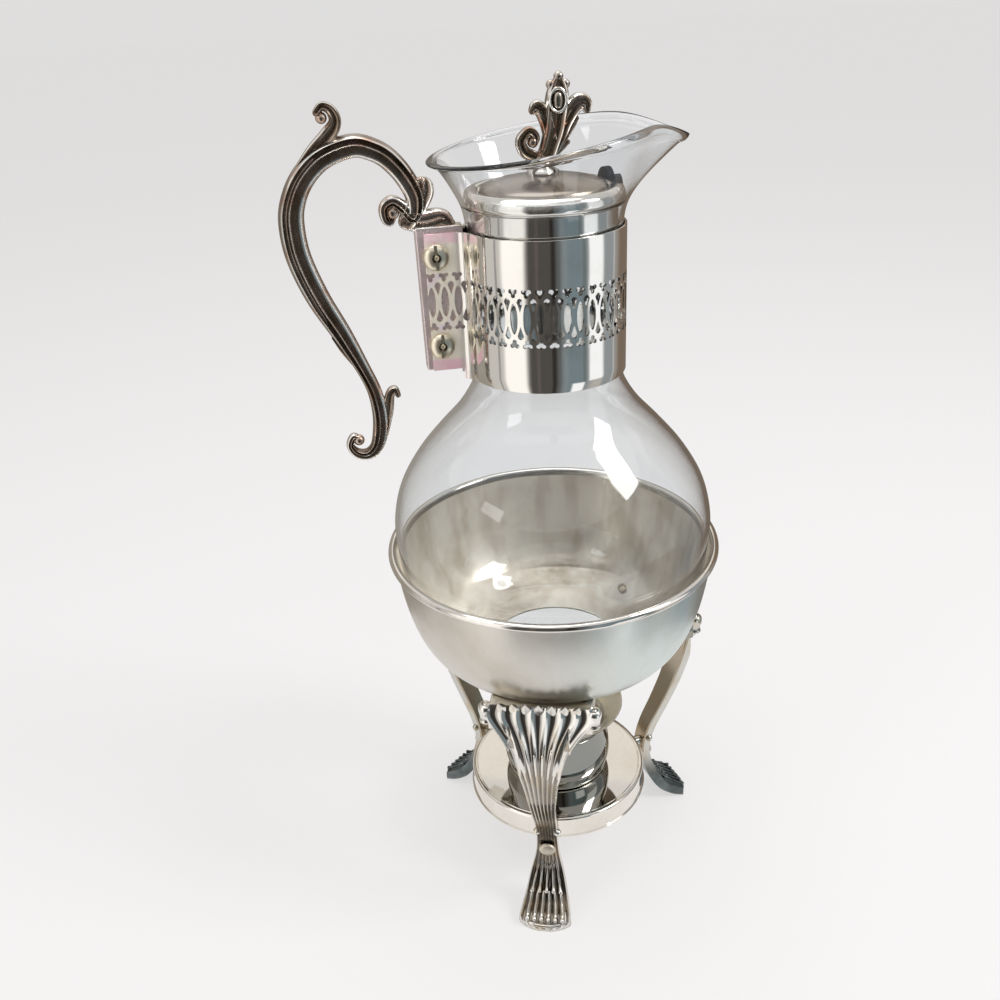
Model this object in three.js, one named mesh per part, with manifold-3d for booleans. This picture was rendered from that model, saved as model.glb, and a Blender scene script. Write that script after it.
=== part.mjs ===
// A coffee carafe on its warmer stand: a glass carafe with a clamped collar, a scroll handle
// and a loose lid, standing in a footed bowl over a candle cup. Millimetres, +Z up, +X to the spout.

import * as THREE from 'three';
import { mergeVertices } from 'three/addons/utils/BufferGeometryUtils.js';
import Module from 'manifold-3d';

// Driving dimensions: fits and small clearances
const seatGap = 0.3; // between a piece and what it rests on or is cut to
const screwClearance = 0.3; // round a shank in its hole
const overrun = 2; // how far a cutter reaches past the face it cuts

// Driving dimensions: warmer bowl
const bowlRimRadius = 70;
const bowlRimBeadRadius = 1.7;
const bowlWall = 1;
const bowlDepth = 48.2; // from the rim down to the crease where the wall meets the floor
const bowlCreaseHeight = 113.3;
const bowlCreaseInset = 17; // of the crease from the rim
const bowlFloorDrop = 7.7; // from the crease down to the heat hole
const bowlFloorReach = 25; // from the crease in to the heat hole

// Driving dimensions: legs
const legCount = 3;
const legTurn = THREE.MathUtils.degToRad(11.5); // of the leg nearest the spout, from +X
const legThickness = 5.8;
const legHeadHalfWidth = 21.7;
const legKneeBulge = 6; // of the knee's middle line past the head
const legHeadStandOff = 6.5; // of the head's middle line from the bowl's crease
const legHeadRise = 3.6; // of the head's lip over the crease
const footReach = 68.3;
const footHalfWidth = 11.6;
const ankleHalfWidth = 4.7;
const ankleStandOff = 5.4; // of the ankle's middle line from the tray's skirt
const legShelfDepth = 5.5;
const legShelfHalfWidth = 21;
const legShelfMargin = 3.2; // of the shelf past the middle of its screws
const voluteRadius = 3;
const voluteHeight = 9;

// Driving dimensions: the screws that hold the bowl to the legs
const bowlScrewShankRadius = 1.3;
const bowlScrewHeadRadius = 2.7;
const bowlScrewHeadHeight = 1.3;
const bowlScrewLength = 5;
const bowlScrewInset = 6; // of the screw circle from the crease
const bowlScrewSpread = 16.5; // of a screw from the middle of its leg

// Driving dimensions: burner tray and its screws
const trayRadius = 40.8;
const trayHeight = 39.2;
const traySkirtHeight = 10.4;
const trayWall = 0.9;
const trayEdgeRadius = 1.2;
const trayFlare = 0.7;
const trayScrewShankRadius = 1.2;
const trayScrewHeadRadius = 2.4;
const trayScrewHeadHeight = 1.2;
const trayScrewLength = 4.2;

// Driving dimensions: burner cup and candle
const cupHeight = 35;
const cupRimRadius = 30.7;
const cupBodyRadius = 24.6;
const cupNeckRadius = 22.8;
const cupFootRadius = 21.5;
const cupWall = 0.9;
const candleTinRadius = 19.2;
const candleTinHeight = 15.5;
const candleTinWall = 0.5;
const candleWaxHeight = 11.5;
const wickRadius = 0.7;
const wickHeight = 5.5;

// Driving dimensions: glass carafe
const glassWall = 1.6;
const glassFootInset = 19; // of the glass foot's edge from the bowl's crease
const bulbClearance = 0.8; // of the bulb from the bowl's wall
const bulbWidestRise = 6.44; // of the bulb's widest part over the bowl's rim
const bulbShoulderHeight = 68.05; // from there to the foot of the neck
const neckRadius = 29.3;
const neckHeight = 58.5;
const mouthRadius = 40.6;
const mouthHeight = 27.4;
const mouthBeadRadius = 1.5;
const mouthRise = 5; // of the mouth at its widest on the spout's side
const spoutDrop = 7; // of the spout's tip under the mouth's plane
const spoutReach = 11.6;
const spoutSpread = THREE.MathUtils.degToRad(21);

// Driving dimensions: neck collar, its ears and their screws
const collarHeight = 55.8;
const collarWall = 0.9;
const collarLift = 1.4; // of the collar over the foot of the neck
const earReach = 14.8;
const earFootRise = 4.2; // of the ears' lower edge over the collar's
const piercingCount = 39;
const piercingHeight = 11.4;
const piercingWidth = 2.9;
const piercingRowHeight = 26.2; // of the row's middle over the collar's lower edge
const clampScrewRadius = 1.9;
const clampHeadRadius = 4.9;
const clampHeadHeight = 2.6;
const clampSlotWidth = 1.1;
const clampSlotDepth = 0.9;
const clampNutRadius = 3.9;
const clampNutHeight = 2.6;
const clampScrewInset = 3.9; // of the screws' middle from the ears' outer edge
const upperScrewDrop = 8.4; // from the collar's upper edge
const lowerScrewRise = 14; // from the collar's lower edge

// Driving dimensions: handle
const tangThickness = 6;
const tangTopOverhang = 3; // past the ears' outer edge
const tangRise = 2.4; // over the collar's upper edge
const tangFootOverhang = 2.2;
const gripReach = 47.7; // from the ears' outer edge to the grip's far side
const gripRise = 43; // of the thumb scroll over the collar
const gripDrop = 88.6; // of the lower scroll under the collar's upper edge
const gripDepth = 9.2;
const gripWidth = 8;

// Driving dimensions: lid
const lidSkirtClearance = 0.5;
const lidWall = 1;
const lidSkirtDepth = 18; // into the neck, from the shoulder's seat
const lidShoulderRadius = 29.7;
const lidShoulderHeight = 9;
const lidCapRadius = 22.4;
const lidDomeRise = 2.6;
const lidNotchRadius = 3.5;
const lidNotchSpread = THREE.MathUtils.degToRad(5.5); // of each lobe from the notch's middle
const lidNotchTurn = THREE.MathUtils.degToRad(19); // of the notch from the spout
const linerWall = 3.2;
const studRadius = 1.6;
const studLength = 5;
const finialNutRadius = 3.4;
const finialNutHeight = 2.2;
const finialHeight = 34;
const finialWidth = 30;
const finialThickness = 6.4;

// Facets round a full turn
const bodyFacets = 36;
const smallFacets = 8;
const sweepSides = 8;
const nutSides = 6;
const ovalCornerCount = 8;

// Sizes of the bowl that follow from its driving dimensions
const bowlCreaseRadius = bowlRimRadius - bowlCreaseInset;
const heatHoleRadius = bowlCreaseRadius - bowlFloorReach;
const glassFootRadius = bowlCreaseRadius - glassFootInset;
const bowlRimHeight = bowlCreaseHeight + bowlDepth;
const bowlWallRadius = bowlRimRadius - 2 * bowlRimBeadRadius + bowlWall;
const bowlWallTop = bowlRimHeight - 2 * bowlRimBeadRadius;
const bulbRadius = bowlWallRadius - bowlWall - bulbClearance;

// Heights that stack up from the table
const heatHoleHeight = bowlCreaseHeight - bowlFloorDrop;
const floorSlope = Math.atan2(bowlFloorDrop, bowlFloorReach);
const floorWallHeight = bowlWall / Math.cos(floorSlope);
const glassFootHeight = heatHoleHeight + (glassFootRadius - heatHoleRadius) * Math.tan(floorSlope)
  + floorWallHeight + seatGap;
const bulbWidestHeight = bowlRimHeight + bulbWidestRise;
const neckFootHeight = bulbWidestHeight + bulbShoulderHeight;
const neckTopHeight = neckFootHeight + neckHeight;
const mouthTopHeight = neckTopHeight + mouthHeight;
const collarFootHeight = neckFootHeight + collarLift;
const collarTopHeight = collarFootHeight + collarHeight;
const collarRadius = neckRadius + seatGap + collarWall;
const cupFootHeight = trayHeight + seatGap;
const earEdge = collarRadius + earReach;
const ankleHeight = trayHeight - traySkirtHeight / 2;

const wasm = await Module();
wasm.setup();

const silver = { color: 0xcfcac2, roughness: 0.22, metalness: 1 };
const darkSilver = { color: 0x5c524c, roughness: 0.34, metalness: 1 };
const castSilver = { color: 0xb9b0a6, roughness: 0.2, metalness: 1 };
const brass = { color: 0xb8a27c, roughness: 0.35, metalness: 1 };
const clearGlass = { color: 0xeef3f4, roughness: 0.03, metalness: 0, transparent: true, opacity: 0.3 };
const blackPlastic = { color: 0x15171a, roughness: 0.55, metalness: 0 };
const aluminium = { color: 0xc8cbcf, roughness: 0.3, metalness: 1 };
const paraffin = { color: 0xf2eee4, roughness: 0.5, metalness: 0 };
const cotton = { color: 0xe6dcc8, roughness: 0.9, metalness: 0 };

// Joins equal corners and drops the triangles that fold to a line, so that the mesh is closed.
function weld(geometry) {
  const bare = geometry.clone();
  bare.deleteAttribute('normal');
  bare.deleteAttribute('uv');
  const merged = mergeVertices(bare);
  const index = merged.getIndex();
  const kept = [];
  for (let i = 0; i < index.count; i += 3) {
    const corners = [index.getX(i), index.getX(i + 1), index.getX(i + 2)];
    if (new Set(corners).size === 3) kept.push(...corners);
  }
  merged.setIndex(kept);
  return merged;
}

function solidOf(geometry) {
  const welded = weld(geometry);
  const vertProperties = Float32Array.from(welded.getAttribute('position').array);
  const triVerts = Uint32Array.from(welded.getIndex().array);
  return new wasm.Manifold(new wasm.Mesh({ numProp: 3, vertProperties, triVerts }));
}

function geometryOf(solid) {
  const mesh = solid.getMesh();
  const geometry = new THREE.BufferGeometry();
  geometry.setAttribute('position', new THREE.BufferAttribute(mesh.vertProperties, 3));
  geometry.setIndex(new THREE.BufferAttribute(mesh.triVerts, 1));
  return geometry;
}

function joined(solids) {
  return solids.reduce((whole, solid) => whole.add(solid));
}

function cutFrom(solid, cutters) {
  return cutters.reduce((rest, cutter) => rest.subtract(cutter), solid);
}

function piece(name, geometry, finish) {
  const material = new THREE.MeshStandardMaterial(finish);
  const mesh = new THREE.Mesh(geometry, material);
  mesh.name = name;
  return mesh;
}

// Turns an outline of [radius, height] points, up the outside first, about the Z axis.
function revolved(outline, facets) {
  const points = outline.map(([radius, height]) => new THREE.Vector2(radius, height));
  return new THREE.LatheGeometry(points, facets).rotateX(Math.PI / 2);
}

// A closed ring of the outline, or a solid where it starts and ends on the axis.
function turnedSolid(outline, facets) {
  return solidOf(revolved(outline, facets));
}

function closedRing(outline) {
  return [...outline, outline[0]];
}

function smoothLine(points, steps) {
  const curve = new THREE.SplineCurve(points.map(([x, y]) => new THREE.Vector2(x, y)));
  return curve.getPoints(steps).map((point) => [point.x, point.y]);
}

function arcLine(centreX, centreY, radius, startAngle, endAngle, steps) {
  const curve = new THREE.ArcCurve(centreX, centreY, radius, startAngle, endAngle, endAngle < startAngle);
  return curve.getPoints(steps).map((point) => [point.x, point.y]);
}

// Moves an outline sideways, to its left as it runs, by the distance given.
function offsetLine(line, distance) {
  return line.map(([x, y], i) => {
    const before = line[Math.max(i - 1, 0)];
    const after = line[Math.min(i + 1, line.length - 1)];
    const run = Math.hypot(after[0] - before[0], after[1] - before[1]);
    return [x - (after[1] - before[1]) / run * distance, y + (after[0] - before[0]) / run * distance];
  });
}

function rod(radius, length, facets) {
  return new THREE.CylinderGeometry(radius, radius, length, facets).rotateX(Math.PI / 2)
    .translate(0, 0, length / 2);
}

function block(low, high) {
  const size = high.map((value, axis) => value - low[axis]);
  const middle = high.map((value, axis) => (value + low[axis]) / 2);
  return new THREE.BoxGeometry(...size).translate(...middle);
}

function between(start, end, share) {
  return start + (end - start) * share;
}

// Sweeps a rounded section along stations in the X-Z plane. A station is
// [x, z, half its depth in the plane, half its width along Y].
function swept(stations, sides) {
  const positions = [];
  const index = [];
  stations.forEach(([x, z, halfDepth, halfWidth], i) => {
    const before = stations[Math.max(i - 1, 0)];
    const after = stations[Math.min(i + 1, stations.length - 1)];
    const run = Math.hypot(after[0] - before[0], after[1] - before[1]);
    const normalX = -(after[1] - before[1]) / run;
    const normalZ = (after[0] - before[0]) / run;
    for (let side = 0; side < sides; side += 1) {
      const angle = 2 * Math.PI * (side + 0.5) / sides;
      const inPlane = halfDepth * Math.cos(angle);
      positions.push(x + normalX * inPlane, halfWidth * Math.sin(angle), z + normalZ * inPlane);
    }
  });
  for (let ring = 0; ring < stations.length - 1; ring += 1) {
    for (let side = 0; side < sides; side += 1) {
      const next = (side + 1) % sides;
      const [a, b] = [ring * sides + side, ring * sides + next];
      const [c, d] = [a + sides, b + sides];
      index.push(a, c, b, b, c, d);
    }
  }
  const last = (stations.length - 1) * sides;
  for (let side = 1; side < sides - 1; side += 1) {
    index.push(0, side, side + 1);
    index.push(last, last + side + 1, last + side);
  }
  const geometry = new THREE.BufferGeometry();
  geometry.setAttribute('position', new THREE.Float32BufferAttribute(positions, 3));
  geometry.setIndex(index);
  return geometry;
}

// The same, with the stations given sparsely and joined by smooth curves.
function smoothSweep(stations, steps, sides) {
  const paths = new THREE.SplineCurve(stations.map(([x, z]) => new THREE.Vector2(x, z)));
  const sizes = new THREE.SplineCurve(stations.map(([, , depth, width]) => new THREE.Vector2(depth, width)));
  const full = [];
  for (let step = 0; step <= steps; step += 1) {
    const place = paths.getPoint(step / steps);
    const size = sizes.getPoint(step / steps);
    full.push([place.x, place.y, size.x, size.y]);
  }
  return solidOf(swept(full, sides));
}

// Warmer bowl

// Points of the wall, as shares of the way out and up from the crease to the rim.
const bowlWallShares = [[0, 0], [0.26, 0.1], [0.48, 0.23], [0.66, 0.39], [0.79, 0.56], [0.9, 0.76], [1, 1]];

function bowlOutside() {
  const wall = bowlWallShares.map(([outShare, upShare]) => [
    between(bowlCreaseRadius, bowlWallRadius, outShare),
    between(bowlCreaseHeight, bowlWallTop, upShare),
  ]);
  return [[heatHoleRadius, heatHoleHeight], ...smoothLine(wall, 8)];
}

// The space that the bowl takes, grown by a gap, for cutting what it rests on.
function bowlEnvelope(gap) {
  const grown = offsetLine(bowlOutside(), -gap);
  const top = grown[grown.length - 1];
  return turnedSolid([[0, grown[0][1]], ...grown, [top[0], bowlRimHeight], [0, bowlRimHeight]], bodyFacets);
}

// A point of the bowl's floor at the screw circle, and the slope there.
const bowlScrewRadius = bowlCreaseRadius - bowlScrewInset;
const bowlScrewHeight = bowlCreaseHeight - bowlScrewInset * Math.tan(floorSlope);
const bowlScrewAngle = Math.asin(bowlScrewSpread / bowlScrewRadius);

// The flat underside of the shelf on each leg that the screws go through.
const legShelfInner = bowlScrewRadius * Math.cos(bowlScrewAngle) - legShelfMargin;
const legShelfFoot = bowlCreaseHeight - (bowlCreaseRadius - legShelfInner) * Math.tan(floorSlope) - legShelfDepth;

function legAzimuth(leg) {
  return legTurn + 2 * Math.PI * leg / legCount;
}

// Stands a geometry made along Z at the bowl's screw circle, square to the sloping floor.
function atBowlScrew(geometry, azimuth) {
  return geometry.rotateY(-floorSlope).translate(bowlScrewRadius, 0, bowlScrewHeight).rotateZ(azimuth);
}

function bowlScrewHole(azimuth) {
  const depth = (bowlScrewHeight - legShelfFoot) / Math.cos(floorSlope) + overrun;
  const hole = rod(bowlScrewShankRadius + screwClearance, depth + bowlWall + overrun, smallFacets);
  return solidOf(atBowlScrew(hole.translate(0, 0, -depth), azimuth));
}

function bowlScrewAzimuths(leg) {
  return [-1, 1].map((side) => legAzimuth(leg) + side * bowlScrewAngle);
}

function warmerBowl() {
  const outside = bowlOutside();
  const inside = offsetLine(outside, bowlWall).reverse();
  const beadCentre = [bowlRimRadius - bowlRimBeadRadius, bowlRimHeight - bowlRimBeadRadius];
  const bead = arcLine(...beadCentre, bowlRimBeadRadius, -Math.PI / 2, Math.PI, 6);
  inside[inside.length - 1] = [heatHoleRadius, heatHoleHeight + floorWallHeight];
  inside[0] = [bowlWallRadius - bowlWall, bowlWallTop];
  const shell = turnedSolid(closedRing([...outside, ...bead, ...inside]), bodyFacets);
  const holes = [];
  for (let leg = 0; leg < legCount; leg += 1) {
    holes.push(...bowlScrewAzimuths(leg).map(bowlScrewHole));
  }
  return geometryOf(cutFrom(shell, holes));
}

// Legs

const legHeadRadius = bowlCreaseRadius + legHeadStandOff;
const ankleRadius = trayRadius + ankleStandOff;
const legLipHeight = bowlCreaseHeight + legHeadRise;
// Stations down the leg: the way from head to ankle, the way down, and the shares of
// the leg's thickness and of the head's half width.
const shankShares = [
  [0, 0, 0.35, 0.97], [0, 0.06, 0.5, 1], [0, 0.17, 0.56, 0.68], [0, 0.28, 0.54, 0.48],
  [0.08, 0.42, 0.5, 0.35], [0.3, 0.57, 0.49, 0.275], [0.62, 0.74, 0.48, 0.235], [0.88, 0.88, 0.47, 0.217],
];
const kneeBulgeShares = [0, 0.3, 0.75, 1, 1, 0.95, 0.6, 0.2];
// Stations of the foot: the way out to the toe, the way down, and the shares of
// the leg's thickness and of the way from the ankle's half width to the foot's.
const footShares = [
  [0, 0, 0.47, 0], [0.01, 0.24, 0.47, 0.1], [0.12, 0.5, 0.5, 0.4], [0.34, 0.74, 0.56, 0.68],
  [0.62, 0.88, 0.6, 0.9], [0.86, 0.96, 0.5, 1], [1, 0.99, 0.24, 0.9],
];

function legStations() {
  const shank = shankShares.map(([inShare, downShare, thicknessShare, widthShare], i) => [
    between(legHeadRadius, ankleRadius, inShare) + kneeBulgeShares[i] * legKneeBulge,
    between(legLipHeight, ankleHeight, downShare),
    thicknessShare * legThickness,
    widthShare * legHeadHalfWidth,
  ]);
  const foot = footShares.map(([outShare, downShare, thicknessShare, widthShare]) => [
    between(ankleRadius, footReach, outShare),
    between(ankleHeight, 0, downShare),
    thicknessShare * legThickness,
    between(ankleHalfWidth, footHalfWidth, widthShare),
  ]);
  return [...shank, ...foot];
}

// The shelf behind the leg's head that carries the bowl's floor.
function legShelf() {
  const low = [legShelfInner, -legShelfHalfWidth, legShelfFoot];
  return solidOf(block(low, [legHeadRadius, legShelfHalfWidth, bowlCreaseHeight]));
}

function legVolute(side) {
  const roll = rod(voluteRadius, voluteHeight, sweepSides);
  return solidOf(roll.translate(legHeadRadius, side * legHeadHalfWidth, legLipHeight - voluteHeight));
}

// The lug on the ankle's inner side, which the tray's skirt is screwed to.
function trayLug() {
  const lug = rod(trayScrewHeadRadius + screwClearance, ankleStandOff, smallFacets);
  return solidOf(lug.rotateY(Math.PI / 2).translate(trayRadius, 0, ankleHeight));
}

function trayScrewHole() {
  const hole = rod(trayScrewShankRadius + screwClearance, trayScrewLength + overrun, smallFacets);
  return solidOf(hole.rotateY(Math.PI / 2).translate(trayRadius - overrun, 0, ankleHeight));
}

function trayEnvelope(gap) {
  const radius = trayRadius + gap;
  const flared = radius + trayFlare;
  const foot = trayHeight - traySkirtHeight - gap;
  const bend = trayHeight - traySkirtHeight + trayFlare + gap;
  const outline = [[0, foot], [flared, foot], [radius, bend], [radius, trayHeight + gap], [0, trayHeight + gap]];
  return turnedSolid(outline, bodyFacets);
}

function leg() {
  const blade = smoothSweep(legStations(), 24, sweepSides);
  const whole = joined([blade, legShelf(), legVolute(-1), legVolute(1), trayLug()]);
  const underground = solidOf(block([0, -footReach, -footReach], [2 * footReach, footReach, 0]));
  const screwHoles = [-1, 1].map((side) => bowlScrewHole(side * bowlScrewAngle));
  const cutters = [bowlEnvelope(seatGap), trayEnvelope(seatGap), underground, trayScrewHole(), ...screwHoles];
  return geometryOf(cutFrom(whole, cutters));
}

// A screw along Z with its head's seat at zero and its shank below.
function domeScrew(shankRadius, shankLength, headRadius, headHeight) {
  const crown = arcLine(0, 0, 1, 0, Math.PI / 2, 3).map(([x, y]) => [x * headRadius, y * headHeight]);
  const outline = [[0, -shankLength], [shankRadius, -shankLength], [shankRadius, 0], ...crown];
  outline[outline.length - 1][0] = 0;
  return revolved(outline, smallFacets);
}

function bowlScrew(azimuth) {
  const screw = domeScrew(bowlScrewShankRadius, bowlScrewLength, bowlScrewHeadRadius, bowlScrewHeadHeight);
  return weld(atBowlScrew(screw.translate(0, 0, bowlWall + seatGap), azimuth));
}

// Burner tray

function burnerTray() {
  const foot = trayHeight - traySkirtHeight;
  const edge = arcLine(trayRadius - trayEdgeRadius, trayHeight - trayEdgeRadius, trayEdgeRadius, 0, Math.PI / 2, 3);
  const outside = [[trayRadius + trayFlare, foot], [trayRadius, foot + trayFlare], ...edge];
  const outline = [
    [trayRadius + trayFlare - trayWall, foot], ...outside, [0, trayHeight],
    [0, trayHeight - trayWall], [trayRadius - trayWall, trayHeight - trayWall],
    [trayRadius - trayWall, foot + trayFlare],
  ];
  const holes = [];
  for (let leg = 0; leg < legCount; leg += 1) {
    const hole = rod(trayScrewShankRadius + screwClearance, trayWall + 2 * overrun, smallFacets);
    const placed = hole.rotateY(Math.PI / 2).translate(trayRadius - trayWall - overrun, 0, ankleHeight);
    holes.push(solidOf(placed.rotateZ(legAzimuth(leg))));
  }
  return geometryOf(cutFrom(turnedSolid(closedRing(outline), bodyFacets), holes));
}

function trayScrew(azimuth) {
  const screw = domeScrew(trayScrewShankRadius, trayScrewLength, trayScrewHeadRadius, trayScrewHeadHeight);
  const seat = trayRadius - trayWall - seatGap;
  return weld(screw.rotateY(-Math.PI / 2).translate(seat, 0, ankleHeight).rotateZ(azimuth));
}

// Burner cup and candle

// The cup's height at each station, and its way from one named radius to the next.
const cupOutlineShares = [
  [cupFootRadius, cupBodyRadius, 0, 0], [cupFootRadius, cupBodyRadius, 0.5, 0.04],
  [cupFootRadius, cupBodyRadius, 1, 0.2], [cupBodyRadius, cupNeckRadius, 0.2, 0.38],
  [cupBodyRadius, cupNeckRadius, 1, 0.68], [cupNeckRadius, cupRimRadius, 0.16, 0.78],
  [cupNeckRadius, cupRimRadius, 0.6, 0.9], [cupNeckRadius, cupRimRadius, 0.96, 0.98],
];

function burnerCup() {
  const outside = cupOutlineShares.map(([start, end, outShare, upShare]) => [
    between(start, end, outShare), cupFootHeight + upShare * cupHeight,
  ]);
  const inside = offsetLine(outside, cupWall).reverse();
  const floor = cupFootHeight + cupWall;
  inside[inside.length - 1] = [cupFootRadius - cupWall, floor];
  const lip = [[cupRimRadius, cupFootHeight + cupHeight]];
  return weld(revolved([[0, cupFootHeight], ...outside, ...lip, ...inside, [0, floor]], bodyFacets));
}

const candleFootHeight = cupFootHeight + cupWall + seatGap;
const waxFootHeight = candleFootHeight + candleTinWall + seatGap;
const waxRadius = candleTinRadius - candleTinWall - seatGap;

function candleTin() {
  const top = candleFootHeight + candleTinHeight;
  const inner = candleTinRadius - candleTinWall;
  const floor = candleFootHeight + candleTinWall;
  const outline = [
    [0, candleFootHeight], [candleTinRadius, candleFootHeight], [candleTinRadius, top],
    [inner, top], [inner, floor], [0, floor],
  ];
  return weld(revolved(outline, bodyFacets));
}

// The wax has a hole that the wick stands in.
function candleWax() {
  const top = waxFootHeight + candleWaxHeight;
  const bore = wickRadius + seatGap;
  const outline = [[bore, waxFootHeight], [waxRadius, waxFootHeight], [waxRadius, top], [bore, top]];
  return weld(revolved(closedRing(outline), bodyFacets));
}

function candleWick() {
  return rod(wickRadius, candleWaxHeight + wickHeight, smallFacets).translate(0, 0, waxFootHeight);
}

// Glass carafe

// Points of the bulb, as shares of the ways out and up from its foot to its widest part.
const bulbLowerShares = [[0, 0], [0.2, 0.03], [0.38, 0.118], [0.6, 0.237], [0.8, 0.43], [0.95, 0.72], [1, 1]];
// The same from its widest part in and up to the neck.
const bulbUpperShares = [[0.01, 0.14], [0.1, 0.308], [0.3, 0.486], [0.55, 0.645], [0.79, 0.785], [0.95, 0.916]];
// Points of the mouth, as shares of the way from the neck's radius out to the rim and up.
const mouthShares = [[0, 0], [0.12, 0.24], [0.45, 0.54], [0.93, 0.94]];

function mouthLine() {
  return mouthShares.map(([outShare, upShare]) => [
    between(neckRadius, mouthRadius, outShare), between(neckTopHeight, mouthTopHeight, upShare),
  ]);
}

// The height at which a line of [radius, height] points reaches a radius.
function heightOnLine(line, radius) {
  const after = line.findIndex(([r]) => r >= radius);
  const [r0, z0] = line[after - 1];
  const [r1, z1] = line[after];
  return between(z0, z1, (radius - r0) / (r1 - r0));
}

function glassOutside() {
  const lower = bulbLowerShares.map(([outShare, upShare]) => [
    between(glassFootRadius, bulbRadius, outShare), between(glassFootHeight, bulbWidestHeight, upShare),
  ]);
  const upper = bulbUpperShares.map(([inShare, upShare]) => [
    between(bulbRadius, neckRadius, inShare), between(bulbWidestHeight, neckFootHeight, upShare),
  ]);
  return [...lower, ...upper, [neckRadius, neckFootHeight], ...mouthLine()];
}

// How far the tilted mouth is raised at a place along X and at a share of the mouth's height.
function mouthRiseAt(x, upShare) {
  return mouthRise * upShare ** 3 * x / mouthRadius;
}

// Draws the mouth out to the spout on the +X side, more the nearer a point is to the rim.
function drawSpout(geometry) {
  const position = geometry.getAttribute('position');
  for (let i = 0; i < position.count; i += 1) {
    const [x, y, z] = [position.getX(i), position.getY(i), position.getZ(i)];
    const upShare = Math.max(0, (z - neckTopHeight) / mouthHeight);
    const radius = Math.hypot(x, y);
    const lean = Math.exp(-((Math.atan2(y, x) / spoutSpread) ** 2));
    const stretched = radius + spoutReach * lean * upShare ** 2;
    const scale = radius > 0 ? stretched / radius : 1;
    const rise = mouthRiseAt(x, upShare) - spoutDrop * lean * upShare ** 2;
    position.setXYZ(i, x * scale, y * scale, z + rise);
  }
  return geometry;
}

function carafeGlass() {
  const outside = glassOutside();
  const inside = offsetLine(outside, glassWall).reverse();
  const floor = glassFootHeight + glassWall;
  inside[inside.length - 1] = [glassFootRadius - glassWall, floor];
  const bead = arcLine(mouthRadius, mouthTopHeight, mouthBeadRadius, -Math.PI / 6, Math.PI, 5);
  const outline = [[0, glassFootHeight], ...outside, ...bead, ...inside, [0, floor]];
  return weld(drawSpout(revolved(outline, bodyFacets)));
}

// Neck collar

const earFootHeight = collarFootHeight + earFootRise;
const earInnerFace = tangThickness / 2 + seatGap;
const earOuterFace = earInnerFace + collarWall;
const clampScrewPlace = earEdge - clampScrewInset;
const upperScrewHeight = collarTopHeight - upperScrewDrop;
const lowerScrewHeight = collarFootHeight + lowerScrewRise;
const piercingCentreHeight = collarFootHeight + piercingRowHeight;
const piercingStep = 2 * Math.PI / piercingCount;

// An outline of corners in the plane, pushed through the sheet along Y.
function punch(corners, height, depth) {
  const shape = new THREE.Shape(corners.map(([x, y]) => new THREE.Vector2(x, y)));
  const prism = new THREE.ExtrudeGeometry(shape, { depth, bevelEnabled: false });
  return prism.rotateX(Math.PI / 2).translate(0, 0, height);
}

function ovalCorners() {
  const corners = [];
  for (let corner = 0; corner < ovalCornerCount; corner += 1) {
    const angle = 2 * Math.PI * corner / ovalCornerCount;
    corners.push([piercingWidth / 2 * Math.sin(angle), piercingHeight / 2 * Math.cos(angle)]);
  }
  return corners;
}

// A tall oval hole through the sheet, standing on the X axis.
function piercing() {
  return punch(ovalCorners(), piercingCentreHeight, collarWall + 2 * overrun);
}

// Piercings round the band, except at the gap that the tang fills.
function bandPiercings() {
  const holes = [];
  const gapSteps = Math.ceil((earOuterFace + piercingWidth) / (collarRadius * piercingStep));
  for (let step = gapSteps; step <= piercingCount - gapSteps; step += 1) {
    const turn = Math.PI / 2 + step * piercingStep;
    holes.push(solidOf(piercing().translate(0, collarRadius + overrun, 0).rotateZ(turn)));
  }
  return holes;
}

// The same pattern where it runs out over one ear.
function earPiercings(side) {
  const pitch = collarRadius * piercingStep;
  const faceEdge = side > 0 ? earOuterFace : -earInnerFace;
  const middle = -(collarRadius + earEdge) / 2;
  return [-1, 0, 1].map((step) => (
    solidOf(piercing().translate(middle + step * pitch, faceEdge + overrun, 0))
  ));
}

function clampHole(height) {
  const hole = rod(clampScrewRadius + screwClearance, 2 * (earOuterFace + overrun), smallFacets);
  return solidOf(hole.rotateX(Math.PI / 2).translate(-clampScrewPlace, earOuterFace + overrun, height));
}

function ear(side) {
  const faces = [side * earInnerFace, side * earOuterFace].sort((a, b) => a - b);
  const root = collarRadius - collarWall;
  return solidOf(block([-earEdge, faces[0], earFootHeight], [-root, faces[1], collarTopHeight]));
}

function neckCollar() {
  const [inner, outer] = [collarRadius - collarWall, collarRadius];
  const band = revolved(closedRing([
    [inner, collarFootHeight], [outer, collarFootHeight], [outer, collarTopHeight], [inner, collarTopHeight],
  ]), piercingCount);
  const ring = solidOf(band.rotateZ((piercingStep - Math.PI) / 2));
  const gap = solidOf(block(
    [-outer - overrun, -earInnerFace, collarFootHeight - overrun], [0, earInnerFace, collarTopHeight + overrun],
  ));
  const neckRoom = turnedSolid([
    [0, collarFootHeight - overrun], [inner, collarFootHeight - overrun],
    [inner, collarTopHeight + overrun], [0, collarTopHeight + overrun],
  ], bodyFacets);
  const ears = joined([ear(-1), ear(1)]).subtract(neckRoom);
  const sheet = ring.subtract(gap).add(ears);
  const holes = [...bandPiercings(), ...earPiercings(-1), ...earPiercings(1)];
  return geometryOf(cutFrom(sheet, [...holes, clampHole(upperScrewHeight), clampHole(lowerScrewHeight)]));
}

// Clamp screws and nuts

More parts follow.
